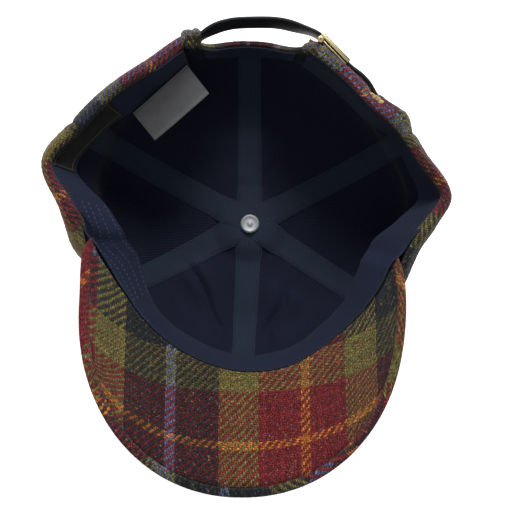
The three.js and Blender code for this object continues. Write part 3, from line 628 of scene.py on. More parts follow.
# The six tweed panels
# Each gore runs from the button to the rim, where its edge is turned in over padding and rounds
# over. The two at the back are cut out for the arch, at whose ends the cloth is bunched up, and
# one of them bellies out over the strap's tail.
TWEED = 2
HEM = 5.6
ARCH_HEM = 3.4
HEM_WIDTH = 10
HEM_ROUNDING = 2.6
ARCH_HALF_WIDTH = 33
ARCH_HEIGHT = 44
SEAM_GAP = 0.03
SEAMS = {
    "right_back": 28,
    "back": 90,
    "left_back": 151,
    "left_front": 207,
    "front": 267,
    "right_front": 327,
}
CROWN_CLOTH_SCALE = 0.8
ARCH_WEAVE_DROP = 1.1
PANELS = [
    # side, from, to, how far the middle of a red stripe is from the panel's own, weft at the rim
    ("back_right", 28, 90, -19.3, 31),
    ("back_left", 90, 151, 4, 31),
    ("side_left", 151, 207, -10.5, 62),
    ("front_left", 207, 267, 4, 110),
    ("front_right", 267, 327, -8, 110),
    ("side_right", 327, 388, 27, 45),
]
CROWDED = np.array([
    # angle, how much further in than usual the band lies, and the edge of the hem
    (180, 2.9, 4),
    (183, 3, 5.4),
    (187, 1.2, 5),
    (192, -1.4, 1),
    (198, -2.4, 0),
    (205, -2.2, 0),
    (212, -0.6, 0),
    (220, 0, 0),
    (285, 0, 0),
    (305, 2.4, 2),
    (340, 2.2, 4.2),
    (350, -1.2, 2.2),
    (360, -2, 0.6),
    (372, -1.4, 0.6),
    (380, -0.6, 0),
    (470, 0, 0),
    (476, 0, 2.4),
    (490, 0, 1.5),
    (525, 0, 0),
    (534, 2, 2.2),
    (540, 2.9, 4),
])
LEFT_LUMPS = [
    # place, size
    ((-33.4, 100.6, 95.5), (4.2, 3.8, 5)),
    ((-29.4, 101.6, 95.5), (3.2, 3.4, 4.6)),
    ((-32.5, 97.5, 94), (4.6, 3.4, 4.6)),
]
RIGHT_LUMPS = [
    # place, size
    ((34.1, 93.9, 96.4), (4.6, 3.9, 4.4)),
    ((37.2, 91.4, 96), (3.6, 3.4, 4.2)),
]
POCKET = {"from": 34, "to": 43.4, "swell": 3.8, "from_rim": 12, "half_width": 13}
SHOULDER = {"from": 45, "to": 74, "swell": 1.9}
HEM_STEPS = 7
PANEL_STEPS = 72


def arch_depth(angle):
    """How far the arch is cut in from the rim."""
    angle = np.asarray(angle, float)
    side = around("radius", angle) * np.sin(np.radians(angle - SEAMS["back"]))
    share = np.clip(np.abs(side) / ARCH_HALF_WIDTH, 0, 1)
    return np.where(np.abs(angle - SEAMS["back"]) > 60, 0, ARCH_HEIGHT * np.sqrt(1 - share * share))


def arch_angle(share):
    """The angle of a place across the arch, from -1 at its right end to 1 at its left."""
    end = np.where(share < 0, 72, 108)
    middle, side = around("radius", 90), around("radius", end)
    radius = middle + (side - middle) * np.abs(share)
    return SEAMS["back"] + np.degrees(np.arcsin(share * ARCH_HALF_WIDTH * 0.999 / radius))


def panel_angles(start, end, steps):
    """Angles across a panel, closer together where the arch's edge runs steeply."""
    if SEAMS["back"] not in (start, end):
        return np.linspace(start, end, steps + 1)
    arch = arch_angle(np.sin(np.linspace(0, np.pi / 2, steps // 2 + 1)))
    if end == SEAMS["back"]:
        arch = arch_angle(-np.sin(np.linspace(np.pi / 2, 0, steps // 2 + 1)))
        return np.concatenate([np.linspace(start, arch[0], steps // 2 + 1)[:-1], arch])
    return np.concatenate([arch[:-1], np.linspace(arch[-1], end, steps // 2 + 1)])


def hem_depth(angle):
    """The thickness of the hem, which is thinner round the arch."""
    return ARCH_HEM + (HEM - ARCH_HEM) * smooth(17.5, 23, np.abs(angle - SEAMS["back"]))


def crowded(angle, piece):
    turned = np.mod(np.asarray(angle, float) - 180, 360) + 180
    return np.interp(turned, CROWDED[:, 0], CROWDED[:, {"band": 1, "hem": 2}[piece]])


def hem_slope(angle):
    """How much lower the inside of the hem is than its outside, under the slope of the peak."""
    turned = angle % 360
    under = smooth(182.5, 190.5, turned) * smooth(357.5, 349.5, turned)
    radius = around("radius", angle)

    def height(reach):
        return peak_height(reach * np.cos(np.radians(angle)), reach * np.sin(np.radians(angle)))

    return under * np.maximum(height(radius) - height(radius - HEM), 0)


def pocket_swell(angle, from_rim):
    """How far the back right panel stands out, over the strap's tail and beside the arch."""
    middle = (POCKET["from"] + POCKET["to"]) / 2
    half_span = (POCKET["to"] - POCKET["from"]) / 2
    right = smooth(half_span + 1.2, half_span, angle - middle)
    left = smooth(half_span + 5.5, half_span, middle - angle)
    side = np.where(angle > middle, right, left)
    reach = np.abs(from_rim - POCKET["from_rim"])
    tail = POCKET["swell"] * side * smooth(POCKET["half_width"], POCKET["half_width"] - 5, reach)
    shoulder = smooth(SHOULDER["to"], SHOULDER["to"] - 7, angle)
    shoulder = shoulder * smooth(SHOULDER["from"], SHOULDER["from"] + 4, angle)
    return tail + SHOULDER["swell"] * shoulder * smooth(24, 8, from_rim)


def tweed_panel(side, start, end, red_middle, rim_weft):
    """The rows run from the rim inwards. The first ones turn over the rounding of the hem."""
    across = panel_angles(start, end, PANEL_STEPS)[:, None]
    edge = arch_depth(across)
    turn = np.linspace(0, np.pi / 2, HEM_STEPS)
    on_edge = np.broadcast_to(HEM_ROUNDING * (1 - np.cos(turn)), (PANEL_STEPS + 1, HEM_STEPS))
    share = np.linspace(0, 1, 118)[1:]
    reach = length_of(across) - edge - TIP_RADIUS - HEM_ROUNDING
    rows = np.concatenate([on_edge, HEM_ROUNDING + reach * share], axis=1)
    sunk = np.zeros_like(rows)
    sunk[:, :HEM_STEPS] = HEM_ROUNDING * (1 - np.sin(turn))
    hem = hem_depth(across) + crowded(across, "hem")
    inner_rows = rows + 0.75 * hem_slope(across) * smooth(HEM_WIDTH, 2, rows)
    inner_depth = hem + (TWEED - hem) * smooth(HEM_WIDTH - 1.5, HEM_WIDTH, rows) - sunk

    outer_run = rows.copy()
    outer_run[:, :HEM_STEPS] = HEM_ROUNDING * (1 - np.pi / 2 + turn)
    over = HEM_ROUNDING * (1 - np.pi / 2) - (hem - 2 * HEM_ROUNDING)
    inner_run = over - HEM_ROUNDING * (np.pi / 2 - 1) - rows
    inner_run[:, :HEM_STEPS] = over - HEM_ROUNDING * turn
    radius = np.linalg.norm(on_crown(across, edge + rows)[..., :2], axis=-1)
    aside = radius * np.radians(across - (start + end) / 2)
    u = RED_MIDDLE + (aside - red_middle) / CROWN_CLOTH_SCALE
    cloths = [
        np.stack([u, rim_weft + (run + ARCH_WEAVE_DROP * edge) / CROWN_CLOTH_SCALE], -1)
        for run in (outer_run, inner_run)
    ]

    gap = np.degrees(SEAM_GAP / 2 / np.maximum(radius, 0.5))
    turned = np.broadcast_to(across, rows.shape).copy()
    turned[0] += gap[0]
    turned[-1] -= gap[-1]
    from_seam = np.radians(np.minimum(across - start, end - across)) * radius
    drawn_in = np.exp(-np.maximum(from_seam, 0) / 1.5) * (0.25 + 0.75 * smooth(0, 6, rows))
    relief = wales(cloths[0], 0.13) + 0.5 * ripple(on_crown(turned, edge + rows), 26, 2)
    relief = relief * smooth(0, 6, rows) - drawn_in
    if side == "back_right":
        relief = relief + pocket_swell(across, edge + rows)
    outer = in_crown(turned, edge + rows, sunk - relief)
    outer[..., 2] = np.maximum(outer[..., 2], 0.05)
    inner = in_crown(turned, edge + inner_rows, inner_depth + 0.3 * drawn_in)
    piece = wall("tweed_" + side, outer, inner, TWEED_CLOTH, cloths, sharp=80)
    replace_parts(piece, "panel_" + side)
    fuzz(piece, seed=int(start))


def bunched(name, lumps, weave, material=TWEED_CLOTH):
    """Cloth bunched into round folds. The weave is the place in the plaid that it is cut from."""
    shape = bmesh.new()
    for place, size in lumps:
        made = bmesh.ops.create_icosphere(shape, subdivisions=4, radius=1)
        for vertex in made["verts"]:
            vertex.co = Vector(np.array(vertex.co) * size + np.array(place))
    points = np.array([vertex.co for vertex in shape.verts])
    outward = np.array([vertex.co - Vector(lumps[0][0]) for vertex in shape.verts])
    rough = 0.5 * ripple(points, 4, 61) + 0.25 * ripple(points, 1.6, 62)
    points = points + unit(outward) * rough[:, None]
    for vertex, point in zip(shape.verts, points):
        vertex.co = Vector(point * MM)
    mesh = bpy.data.meshes.new(name)
    shape.to_mesh(mesh)
    shape.free()
    places = points[:, :2] / CROWN_CLOTH_SCALE + np.array(weave)
    mark_cloth(mesh, np.column_stack([places, np.ones(len(points))]))
    fuzz(finished(name, mesh, material), seed=71)


for panel in PANELS:
    tweed_panel(*panel)
bunched("arch_end_left", LEFT_LUMPS, (105, -97))
bunched("arch_end_right", RIGHT_LUMPS, (28, -88))

# The lining
# Six gores of thin navy cotton hang inside the tweed, sewn together under the tapes. The cloth is
# finely ribbed and lies a little slack, with a soft crease on each side of the front.
LINING_DEPTH = 2.8
LINING = 0.5
SLACK = 1.5
LINING_STEPS = 44
CREASES = [
    # start, end, height, width
    ((-36.5, -28), (-12.8, -82), 4.6, 4),
    ((22, -42), (10, -79), 3.4, 5),
]
CREASE_RISE = 2.4
CREASE_CUT = 0.75


def cotton(name, dark, light, rib, slant, depth):
    """Cotton with ribs of a given pitch in mm, which lean by slant. Its colour is darker in the
    grooves and lighter on the ribs: partly painted shade, partly the cloth's own mottled tone.
    """
    material, tree, shader = new_material(name, {
        "Roughness": 0.85,
        "Specular IOR Level": 0.25,
        "Sheen Weight": 0.05,
    })
    place = node(tree, "ShaderNodeAttribute", attribute_name="cloth").outputs["Vector"]
    x, y, _ = node(tree, "ShaderNodeSeparateXYZ", {0: place}).outputs
    leaning = calc(tree, "DIVIDE", calc(tree, "MULTIPLY_ADD", y, slant, x), rib)
    phase = calc(tree, "MULTIPLY_ADD", noise_at(tree, place, 0.4, 2)[0], 0.5, leaning)
    wave = calc(tree, "SINE", calc(tree, "MULTIPLY", phase, 2 * np.pi))
    weave = noise_at(tree, place, 1.6, 4, 0.7)[0]
    share = ranged(tree, calc(tree, "MULTIPLY_ADD", wave, 0.16, weave), 0.3, 0.75)
    # The colour follows the relief, with the dark tone where it sinks and the light tone where it
    # rises: painted shade of the grooves, over the cloth's own mottling.
    tree.links.new(blend_colour(tree, share, paint(dark), paint(light)), shader.inputs["Base Color"])
    height = calc(tree, "MULTIPLY_ADD", wave, 0.5, calc(tree, "MULTIPLY", weave, 0.8))
    bumped(tree, shader, height, depth, 1.0)
    return material


LINING_CLOTH = cotton("navy_lining", (12, 15, 32), (28, 33, 60), rib=1.5, slant=0.12, depth=0.12)


def slack(points):
    """How far the thin inner layers hang away from the tweed, in mm."""
    fold = 0 * points[..., 0]
    for start, end, height, width in CREASES:
        line = np.subtract(end, start)
        flat = points[..., :2] - start
        along = flat @ line / (line @ line)
        off = (flat[..., 0] * line[1] - flat[..., 1] * line[0]) / np.hypot(*line)
        off = (off + 1.5 * np.sin(along * 7)) / width
        ridges = np.exp(-((off / CREASE_RISE) ** 2)) - np.exp(-((off / CREASE_CUT) ** 2))
        ends = smooth(-0.15, 0.15, along) * smooth(1.1, 0.8, along)
        fold = fold + height * ridges * ends
    near_button = smooth(8, 30, np.linalg.norm(points[..., :2], axis=-1))
    loose = 0.5 + 0.9 * ripple(points, 34, 11) + 0.4 * ripple(points, 12, 12)
    return SLACK * near_button * np.clip(loose, 0, 1.4) + fold


def lining_panel(side, start, end):
    across = panel_angles(start, end, LINING_STEPS)[:, None]
    edge = arch_depth(across) + HEM_WIDTH - 2
    share = np.linspace(0, 1, 80)
    rows = edge + (length_of(across) - edge - TIP_RADIUS) * share
    points = on_crown(across, rows)
    radius = np.linalg.norm(points[..., :2], axis=-1)
    cloth = np.stack([radius * np.radians(across - (start + end) / 2), rows], -1)
    depth = LINING_DEPTH + slack(points)
    outer, inner = (in_crown(across, rows, depth + more) for more in (0, LINING))
    piece = wall("lining_" + side, outer, inner, LINING_CLOTH, [cloth, cloth])
    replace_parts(piece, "lining_" + side)


for side, start, end, *_ in PANELS:
    lining_panel(side, start, end)

# The seam tapes
# A woven tape covers each seam of the lining and is sewn down along both edges with a fine dotted
# stitch. They cross in the middle, where the first pair lies on top of the others.
TAPE = 0.45
TAPE_WIDTH = 15
TAPE_SEWN = 6.2
TAPES = [
    # seam, place in the pile where they cross, distance of its end from the rim or the arch
    ("left_back", 2, 11.6),
    ("right_front", 2, 11.6),
    ("right_back", 1, 11.6),
    ("left_front", 1, 11.6),
    ("back", 0, 13.6),
    ("front", 0, 11.6),
]
TAPE_CLOTH = cotton("navy_tape", (28, 36, 50), (48, 60, 80), rib=0.9, slant=0, depth=0.06)


def plain_material(name, colour, roughness, metallic=0.0, patchy=0.15, grain=8000.0, relief=0.03):
    """One colour, a little patchy, with a fine grain. The grain is per metre, the relief in mm."""
    constants = {"Roughness": roughness, "Metallic": metallic}
    material, tree, shader = new_material(name, constants)
    place = node(tree, "ShaderNodeTexCoord").outputs["Object"]
    tone = ranged(tree, noise_at(tree, place, grain / 16, 4)[0], 0.3, 0.7, 1 - patchy, 1 + patchy)
    tree.links.new(shaded(tree, paint(colour), tone), shader.inputs["Base Color"])
    bumped(tree, shader, noise_at(tree, place, grain, 2)[0], relief, 0.6)
    return material


NAVY_THREAD = plain_material("navy_thread", (30, 38, 62), 0.6)


def stitch_tree():
    """A row of stitches along each line of a mesh of edges."""
    floats = {name: "Float" for name in ("Pitch", "Length", "Thickness")}
    tree, given = new_tree("stitch_row", {**floats, "Thread": "Material"})
    curve = node(tree, "GeometryNodeMeshToCurve", {"Mesh": given["Geometry"]}).outputs[0]
    curve = {"Curve": curve, "Length": given["Pitch"]}
    spaced = node(tree, "GeometryNodeResampleCurve", curve, mode="LENGTH").outputs[0]
    ball = {"Radius": 0.5, "Subdivisions": 2}
    ball = node(tree, "GeometryNodeMeshIcoSphere", ball).outputs["Mesh"]
    tangent = {"Vector": node(tree, "GeometryNodeInputTangent").outputs[0]}
    facing = node(tree, "FunctionNodeAlignRotationToVector", tangent, axis="X").outputs[0]
    size = {0: given["Length"], 1: given["Thickness"], 2: given["Thickness"]}
    size = node(tree, "ShaderNodeCombineXYZ", size).outputs[0]
    end_tree(tree, (spaced, ball, facing, size), given["Thread"], rounded=True)
    return tree


STITCH_TREE = stitch_tree()


def line_mesh(name, lines):
    """Open lines of points in mm as one mesh of edges."""
    places, edges = [], []
    for line in lines:
        first = len(places)
        places += (np.asarray(line) * MM).tolist()
        edges += [(k, k + 1) for k in range(first, len(places) - 1)]
    mesh = bpy.data.meshes.new(name)
    mesh.from_pydata(places, edges, [])
    return mesh


def stitches(name, lines, thread, sizes):
    """Rows of stitches along lines. The sizes are a stitch's pitch, length and thickness."""
    piece = in_scene(name, line_mesh(name, lines))
    sizes = {key: size * MM for key, size in zip(("Pitch", "Length", "Thickness"), sizes)}
    baked(piece, STITCH_TREE, {**sizes, "Thread": thread})
    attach(piece, "root")
    return piece


def rounded(from_edge, radius):
    """The thickness left at a distance from an edge that is rounded over."""
    share = np.clip(from_edge / radius, 0, 1)
    return np.sqrt(np.maximum(1 - (1 - share) ** 2, 0.02))


def over_tape(seam, aside, from_middle, pile, lift):
    """A point over a seam, square to its line by aside, at a distance from the middle."""
    flat = on_crown(seam, length_of(seam) - from_middle)
    stretch = from_middle / np.maximum(np.hypot(flat[..., 0], flat[..., 1]), 0.1)
    angle = seam + np.degrees(np.arctan2(aside * stretch, from_middle))
    share = np.hypot(aside * stretch, from_middle) / length_of(seam)
    from_rim = length_of(angle) * (1 - share)
    base = on_crown(angle, from_rim)
    piled = 0.35 * pile * smooth(34, 14, np.hypot(base[..., 0], base[..., 1]))
    depth = LINING_DEPTH + LINING + 0.1 + slack(base) + piled + lift
    return in_crown(angle, from_rim, depth)


def tape(seam_name, pile, top):
    name = "tape_" + seam_name
    seam = SEAMS[seam_name]
    end = length_of(seam) - arch_depth(seam) - top
    aside = np.linspace(-1, 1, 15)
    aside = (np.sign(aside) * (1 - (1 - np.abs(aside)) ** 1.5) * TAPE_WIDTH / 2)[:, None]
    from_middle = np.linspace(0.5, end, 90)[None, :]
    from_edge = TAPE_WIDTH / 2 - np.abs(aside)
    half_thickness = TAPE / 2 * rounded(from_edge + 0 * from_middle, 0.5)
    puffed = 0.25 * smooth(0, 2.4, from_edge + 0 * from_middle)
    puffed = puffed - 0.3 * np.exp(-(((from_edge - 1.3) / 0.5) ** 2))
    outer = over_tape(seam, aside, from_middle, pile, TAPE / 2 - half_thickness)
    inner = over_tape(seam, aside, from_middle, pile, TAPE / 2 + half_thickness + puffed)
    cloth = np.stack(np.broadcast_arrays(aside, from_middle), -1)
    piece = wall(name, outer, inner, TAPE_CLOTH, [cloth, cloth])
    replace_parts(piece, name)
    sewn = np.linspace(10, float(end), 60)
    lines = [
        over_tape(seam, np.full(60, side * TAPE_SEWN), sewn, pile, TAPE + 0.1) for side in (-1, 1)
    ]
    stitches("stitches_" + name, lines, NAVY_THREAD, (2.1, 1.3, 0.42))


for tape_row in TAPES:
    tape(*tape_row)

# The sweatband
# A navy twill band is sewn along the inside of the rim and hangs free below. Its top edge is
# folded, and its lower edge leans in and waves. It is open at the arch.
BAND_DEPTH = 5.65
BAND = 1.1
BAND_WIDTH = 30
BAND_LIFT = 2.6
BAND_ENDS = {"left": 112, "right": 430}
PEAK_SEAM = {"left": 187.5, "right": 347}
BAND_SEWN = (2.2, 7.4)
BAND_CLOTH = cotton("navy_twill", (21, 27, 46), (44, 54, 82), rib=1.3, slant=1, depth=0.08)
PALE_THREAD = plain_material("pale_thread", (88, 97, 122), 0.6)
BLUE_THREAD = plain_material("blue_thread", (46, 66, 92), 0.6)
BAND_ROWS = {"rows": (13, 18, 23, 28), "from": 176, "to": 214}
BAND_EDGE = {"rows": (0.1, 0.7, 1.3), "from": 174, "to": 226}


def band_top(angle):
    """How far the band's top edge lies from the rim. It runs up on to the peak's seam."""
    under = smooth(PEAK_SEAM["left"] - 3, PEAK_SEAM["left"] + 4, angle)
    past = smooth(PEAK_SEAM["right"] + 3, PEAK_SEAM["right"] - 4, angle)
    return 1.0 - under * past * (PEAK_THICKNESS + 2.1)


def band_point(angle, from_rim, depth):
    """A point of the band, at a depth from the side of it that is sewn to the hem."""
    lift = BAND_LIFT * (1 - smooth(9, 15, angle - BAND_ENDS["left"]))
    hang = np.maximum(from_rim / BAND_WIDTH, 0)
    place = on_crown(angle, from_rim)
    wave = 1.2 * ripple(place, 30, 21) * hang**1.5 + 0.5 * ripple(place, 13, 22) * hang
    shifted = crowded(angle, "band")
    shifted = np.where(shifted < 0, shifted * smooth(5, -0.5, from_rim), shifted)
    top = band_top(angle)
    tucked = (0.8 + 1.3 * smooth(0.5, -4, top)) * smooth(3.5, 0, from_rim - top)
    hung = BAND_DEPTH + lift + shifted - tucked + np.maximum(wave, -0.8)
    point = in_crown(angle, from_rim, hung + depth)
    inward = unit(point * np.array([1, 1, 0]))
    return point - inward * (around("lean", angle) * hang**1.3)[..., None]


def sweatband():
    across = np.linspace(BAND_ENDS["left"], BAND_ENDS["right"], 330)[:, None]
    top = band_top(across)
    share = np.linspace(0, 1, 40)[None, :] ** 1.25
    rows = top + (BAND_WIDTH - top) * share
    rib = 0.25 * sum(np.exp(-(((rows - top - sewn) / 0.6) ** 2)) for sewn in BAND_SEWN)
    half_thickness = BAND / 2 * rounded(np.minimum(rows - top, BAND_WIDTH - rows), 0.8)
    outer = band_point(across, rows, BAND / 2 - half_thickness)
    inner = band_point(across, rows, BAND / 2 + half_thickness - rib)
    radius = np.linalg.norm(on_crown(across, 0 * across)[..., :2], axis=-1)
    cloth = np.stack([radius * np.radians(across) + 0 * rows, rows], -1)
    piece = wall("sweatband", outer, inner, BAND_CLOTH, [cloth, cloth])
    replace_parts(piece, "sweatband")
    angles = np.linspace(BAND_ENDS["left"] + 0.5, BAND_ENDS["right"] - 0.5, 500)
    lines = [band_point(angles, band_top(angles) + sewn, BAND + 0.02) for sewn in BAND_SEWN]
    stitches("stitches_sweatband", lines, NAVY_THREAD, (2.4, 1.7, 0.45))
    angles = np.linspace(BAND_ROWS["from"], BAND_ROWS["to"], 120)
    lines = [band_point(angles, np.full(120, row), BAND) for row in BAND_ROWS["rows"]]
    stitches("stitches_joined_band", lines, PALE_THREAD, (2.8, 1.8, 0.36))
    angles = np.linspace(BAND_EDGE["from"], BAND_EDGE["to"], 300)
    lines = [
        band_point(angles, band_top(angles) + row, BAND / 2 + row / 2) for row in BAND_EDGE["rows"]
    ]
    stitches("stitches_band_edge", lines, BLUE_THREAD, (1.7, 0.9, 0.42))


sweatband()

# The facing of the arch
# A narrow bias strip of the navy twill covers the raw edges round the arch, held by three rows of
# stitching that leave ridges between them.
FACING = {"from": 1.2, "to": 13, "thickness": 0.9, "ridges": 3, "ridge": 0.35}


def arch_facing():
    start, end = FACING["from"], FACING["to"]
    middle = FACING["thickness"] / 2
    across = arch_angle(np.sin(np.linspace(-0.66, 0.66, 90) * np.pi / 2))[:, None]
    rows = np.linspace(start, end, 34)[None, :]
    half_thickness = middle * rounded(np.minimum(rows - start, end - rows), 0.8) + 0 * across
    ridges = np.abs(np.sin((rows - start) / (end - start) * FACING["ridges"] * np.pi))
    edge = arch_depth(across)
    place = on_crown(across, edge + rows)
    depth = ARCH_HEM + 0.2 + (slack(place) + 0.9) * smooth(4, end, rows)
    outer = in_crown(across, edge + rows, depth + middle - half_thickness)
    deep = depth + middle + half_thickness + FACING["ridge"] * ridges
    inner = in_crown(across, edge + rows, deep)
    cloth = np.stack(np.broadcast_arrays(across * 1.8, rows), -1)
    piece = wall("arch_facing", outer, inner, BAND_CLOTH, [cloth, cloth])
    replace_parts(piece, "arch_facing")


arch_facing()

# The peak
# A board is covered with tweed above and below. The upper cover is rolled round the board's edge
# and sewn down, so a narrow strip of it shows all round the under cover, beyond a sunk seam. A
# small tuft of its wool is caught in the seam at the left tip.
PEAK_OUTLINE = {"x": -3.8, "y": -47, "half_width": 88.3, "length": 105.2, "square": 2.1}
PEAK_TIPS = {"left": 18.5, "right": 14}
PEAK_FLARE = {
    "left": {"from": -44, "to": -12, "out": -2.6},
    "right": {"from": -70, "to": -34, "out": 0.9},
}
PEAK_UNDER = 2.1
TUFT_LUMPS = [
    # place, size
    ((-85.1, -18.9, 90.2), (1.3, 2.0, 1.1)),
]
PEAK_ROLL = {"left": 4.9, "front": 5, "right": 4.6}
ROLL_PROUD = 0.5
PEAK_ENDS = {"left": 186.5, "right": 346}
UNDER_CLOTH = {"u": 71.2, "v": 70.9, "stretch": 1.0515, "pulled": 2.6}
UNDER_BOW = {"bend": 0.00347, "more": 4.84e-5, "at_edge": 0.72, "inside": 0.34}
SEAM_WIDTH = 2.3
UPPER_CLOTH = {"u": 44, "v": 88, "v_scale": 0.7}


def peak_lines(place):
    """Points of the seam and of the outline in plan, for places from the left tip to the right."""
    angle = PEAK_ENDS["left"] + (PEAK_ENDS["right"] - PEAK_ENDS["left"]) * place
    span = 180 + PEAK_TIPS["left"] + PEAK_TIPS["right"]
    turn = np.radians(180 - PEAK_TIPS["left"] + span * place)
    seam = around("radius", angle) - HEM - 0.2 - crowded(angle, "band")
    inner = np.stack([seam * np.cos(np.radians(angle)), seam * np.sin(np.radians(angle))], -1)

    def squared(value):
        return np.sign(value) * np.abs(value) ** (2 / PEAK_OUTLINE["square"])

    x = PEAK_OUTLINE["x"] + PEAK_OUTLINE["half_width"] * squared(np.cos(turn))
    y = PEAK_OUTLINE["y"] + PEAK_OUTLINE["length"] * squared(np.sin(turn))
    left, right = (row["out"] * smooth(row["from"], row["to"], y) for row in PEAK_FLARE.values())
    outer = np.stack([x + np.where(place < 0.5, left, right), y], -1)
    closing = np.sqrt(smooth(-0.004, 0.012, place) * smooth(1.004, 0.98, place))
    return inner, inner + (outer - inner) * closing[..., None]


def on_peak(place, from_edge, below):
    """A point of the peak by its place along it, its distance from the edge and its depth."""
    inner, outer = peak_lines(place)
    flat = outer + (inner - outer) / peak_width(place)[..., None] * from_edge[..., None]
    height = peak_height(flat[..., 0], flat[..., 1]) - below
    return np.concatenate([flat, height[..., None]], -1)


def peak_width(place):
    inner, outer = peak_lines(place)
    return np.linalg.norm(outer - inner, axis=-1)


def slant(place):
    """How much longer a distance is along a line of the peak than square to its outline."""
    step = 0.002
    inner, outer = peak_lines(place)
    along = unit(peak_lines(place + step)[1] - peak_lines(place - step)[1])
    line = unit(outer - inner)
    square = np.abs(along[..., 0] * line[..., 1] - along[..., 1] * line[..., 0])
    return 1 / np.maximum(square, 0.35)


def roll_width(place):
    sides = PEAK_ROLL["left"] + (PEAK_ROLL["front"] - PEAK_ROLL["left"]) * smooth(0.1, 0.4, place)
    sides = sides + (PEAK_ROLL["right"] - PEAK_ROLL["front"]) * smooth(0.6, 0.85, place)
    return np.minimum(sides * slant(place), peak_width(place) * 0.96)


def under_cloth(points):
    """Where the under cover's weave lies. It is drawn round in a bow, more so towards the edge."""
    x, y = points[..., 0], points[..., 1]
    u = PEAK_BOW * np.arcsin(np.clip((x - PEAK_MIDDLE["x"]) / PEAK_BOW, -0.99, 0.99))
    u = u - UNDER_CLOTH["pulled"] * smooth(-50, -75, x)
    bow = UNDER_BOW["bend"] * u**2 * (1 + UNDER_BOW["more"] * u**2)
    straight = UNDER_CLOTH["stretch"] * (PEAK_MIDDLE["y"] - y)
    v = straight + UNDER_BOW["at_edge"] * bow
    for _ in range(4):
        v = straight + (UNDER_BOW["at_edge"] + UNDER_BOW["inside"] * smooth(10, 42, v)) * bow
    return np.stack([u + UNDER_CLOTH["u"], v + UNDER_CLOTH["v"]], -1)


def peak_under():
    place = np.linspace(0, 1, 190)[:, None]
    start = roll_width(place)
    from_edge = start + (peak_width(place) - start) * np.linspace(0, 1, 98)[None, :]
    flat = on_peak(place, from_edge, 0 * from_edge)
    cloth = under_cloth(flat)
    sunk = PEAK_UNDER * np.exp(-(from_edge - start) / SEAM_WIDTH)
    relief = wales(cloth, 0.16) + 0.35 * ripple(flat, 22, 31) - sunk
    top = on_peak(place, from_edge, -relief)
    bottom = on_peak(place, from_edge, PEAK_UNDER + 0 * from_edge)
    piece = wall("peak_under", top, bottom, TWEED_CLOTH, [cloth, cloth], sharp=80)
    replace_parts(piece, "peak_under")
    fuzz(piece, seed=5)


def peak_upper():
    """The cover runs out under the board, round its edge in a half circle, and back to the seam."""
    place = np.linspace(0, 1, 260)[:, None]
    width, roll = peak_width(place), roll_width(place)
    half = np.minimum((PEAK_THICKNESS + ROLL_PROUD) / 2, width / 2)
    wide = np.minimum(half * slant(place), width / 2)
    field = np.linspace(1, 0, 36)[None, :]
    bend = np.linspace(-np.pi / 2, np.pi / 2, 22)[None, 1:]
    strip = np.linspace(0, 1, 12)[None, 1:]
    across = np.concatenate([
        wide + (width - wide) * field,
        wide - wide * np.cos(bend),
        wide + np.maximum(roll - wide, 0.05) * strip,
    ], axis=1)
    dip = ROLL_PROUD + 1.8
    below = np.concatenate([
        (2 * half - ROLL_PROUD) * np.ones_like(field),
        half - ROLL_PROUD - half * np.sin(bend),
        -ROLL_PROUD + dip * strip**5 + 0 * half,
    ], axis=1)
    skin = on_peak(place, across, below)
    rolled = np.pi * half + (roll - wide) / slant(place) * strip
    past = np.concatenate([0 * half * field, half * (bend + np.pi / 2), rolled], axis=1)
    outline = peak_lines(place)[1]
    open_place = np.clip(place, 0.015, 0.982)
    along = unit(peak_lines(open_place + 0.002)[1] - peak_lines(open_place - 0.002)[1])
    outward = np.stack([along[..., 1], -along[..., 0]], -1)
    plan = np.where(past[..., None] > 0, outline + outward * past[..., None], skin[..., :2])
    cloth = np.stack([
        UPPER_CLOTH["u"] + plan[..., 0],
        UPPER_CLOTH["v"] - UPPER_CLOTH["v_scale"] * plan[..., 1],
    ], -1)
    relief = wales(cloth, 0.08) + 0.25 * ripple(skin, 9, 33)
    skin = on_peak(place, across, below - relief * np.sign(1.5 - below))
    inside = np.maximum(across, np.minimum(1.2, width * 0.4))
    hidden = on_peak(place, inside, np.clip(below, PEAK_UNDER + 0.3, 4))
    piece = wall("peak_upper", skin, hidden, TWEED_CLOTH, [cloth, cloth], sharp=80)
    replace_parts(piece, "peak_upper")
    fuzz(piece, seed=5)


peak_under()
peak_upper()
bunched("tuft", TUFT_LUMPS, (138, 54.5))

# The strap
# Two layers of smooth black leather are glued back to back. The strap is sewn inside the left of
# the arch, crosses it, passes through the buckle and ends in the slot, whose lip is bound with
# cream wool.
STRAP = {"width": 17, "thickness": 1.7, "from_rim": 11.5, "height": 89.5}
BUCKLE = {
    "x": 46.7,
    "y": 93.3,
    "turn": -45.6,
    "length": 21,
    "width": 21,
    "plate": 0.8,
    "side": 1,
    "gap": 0.15,
}
STRAP_FREE = [
    # x, y
    (-30.6, 97),
    (-26.6, 101.6),
    (-19, 106),
    (-10, 108.6),
    (2, 109.4),
    (16, 109),
    (27, 106.4),
]
STRAP_LEAN = 0.12
STRAP_TAIL = [
    # angle, distance out from the crown, drop
    (52, 4.2, 0),
    (48.6, 4.1, 0.8),
    (45.4, 3, 2),
    (42.4, 1.5, 3),
    (39, 0.6, 3),
    (35.6, 0.5, 3),
    (33.6, 0.5, 3),
]


def at_strap(angle, depth, height):
    point = in_crown(angle, STRAP["from_rim"], depth)
    return np.array([point[0], point[1], height])


def in_buckle(x, y, z):
    """A point of the buckle, where x runs along the strap, y is down and z is away from the cap."""
    turn = np.radians(BUCKLE["turn"])
    along = np.array([np.cos(turn), np.sin(turn), 0])
    out = np.array([-along[1], along[0], 0])
    middle = np.array([BUCKLE["x"], BUCKLE["y"], STRAP["height"]])
    return middle + x * along - y * np.array([0, 0, 1]) + z * out


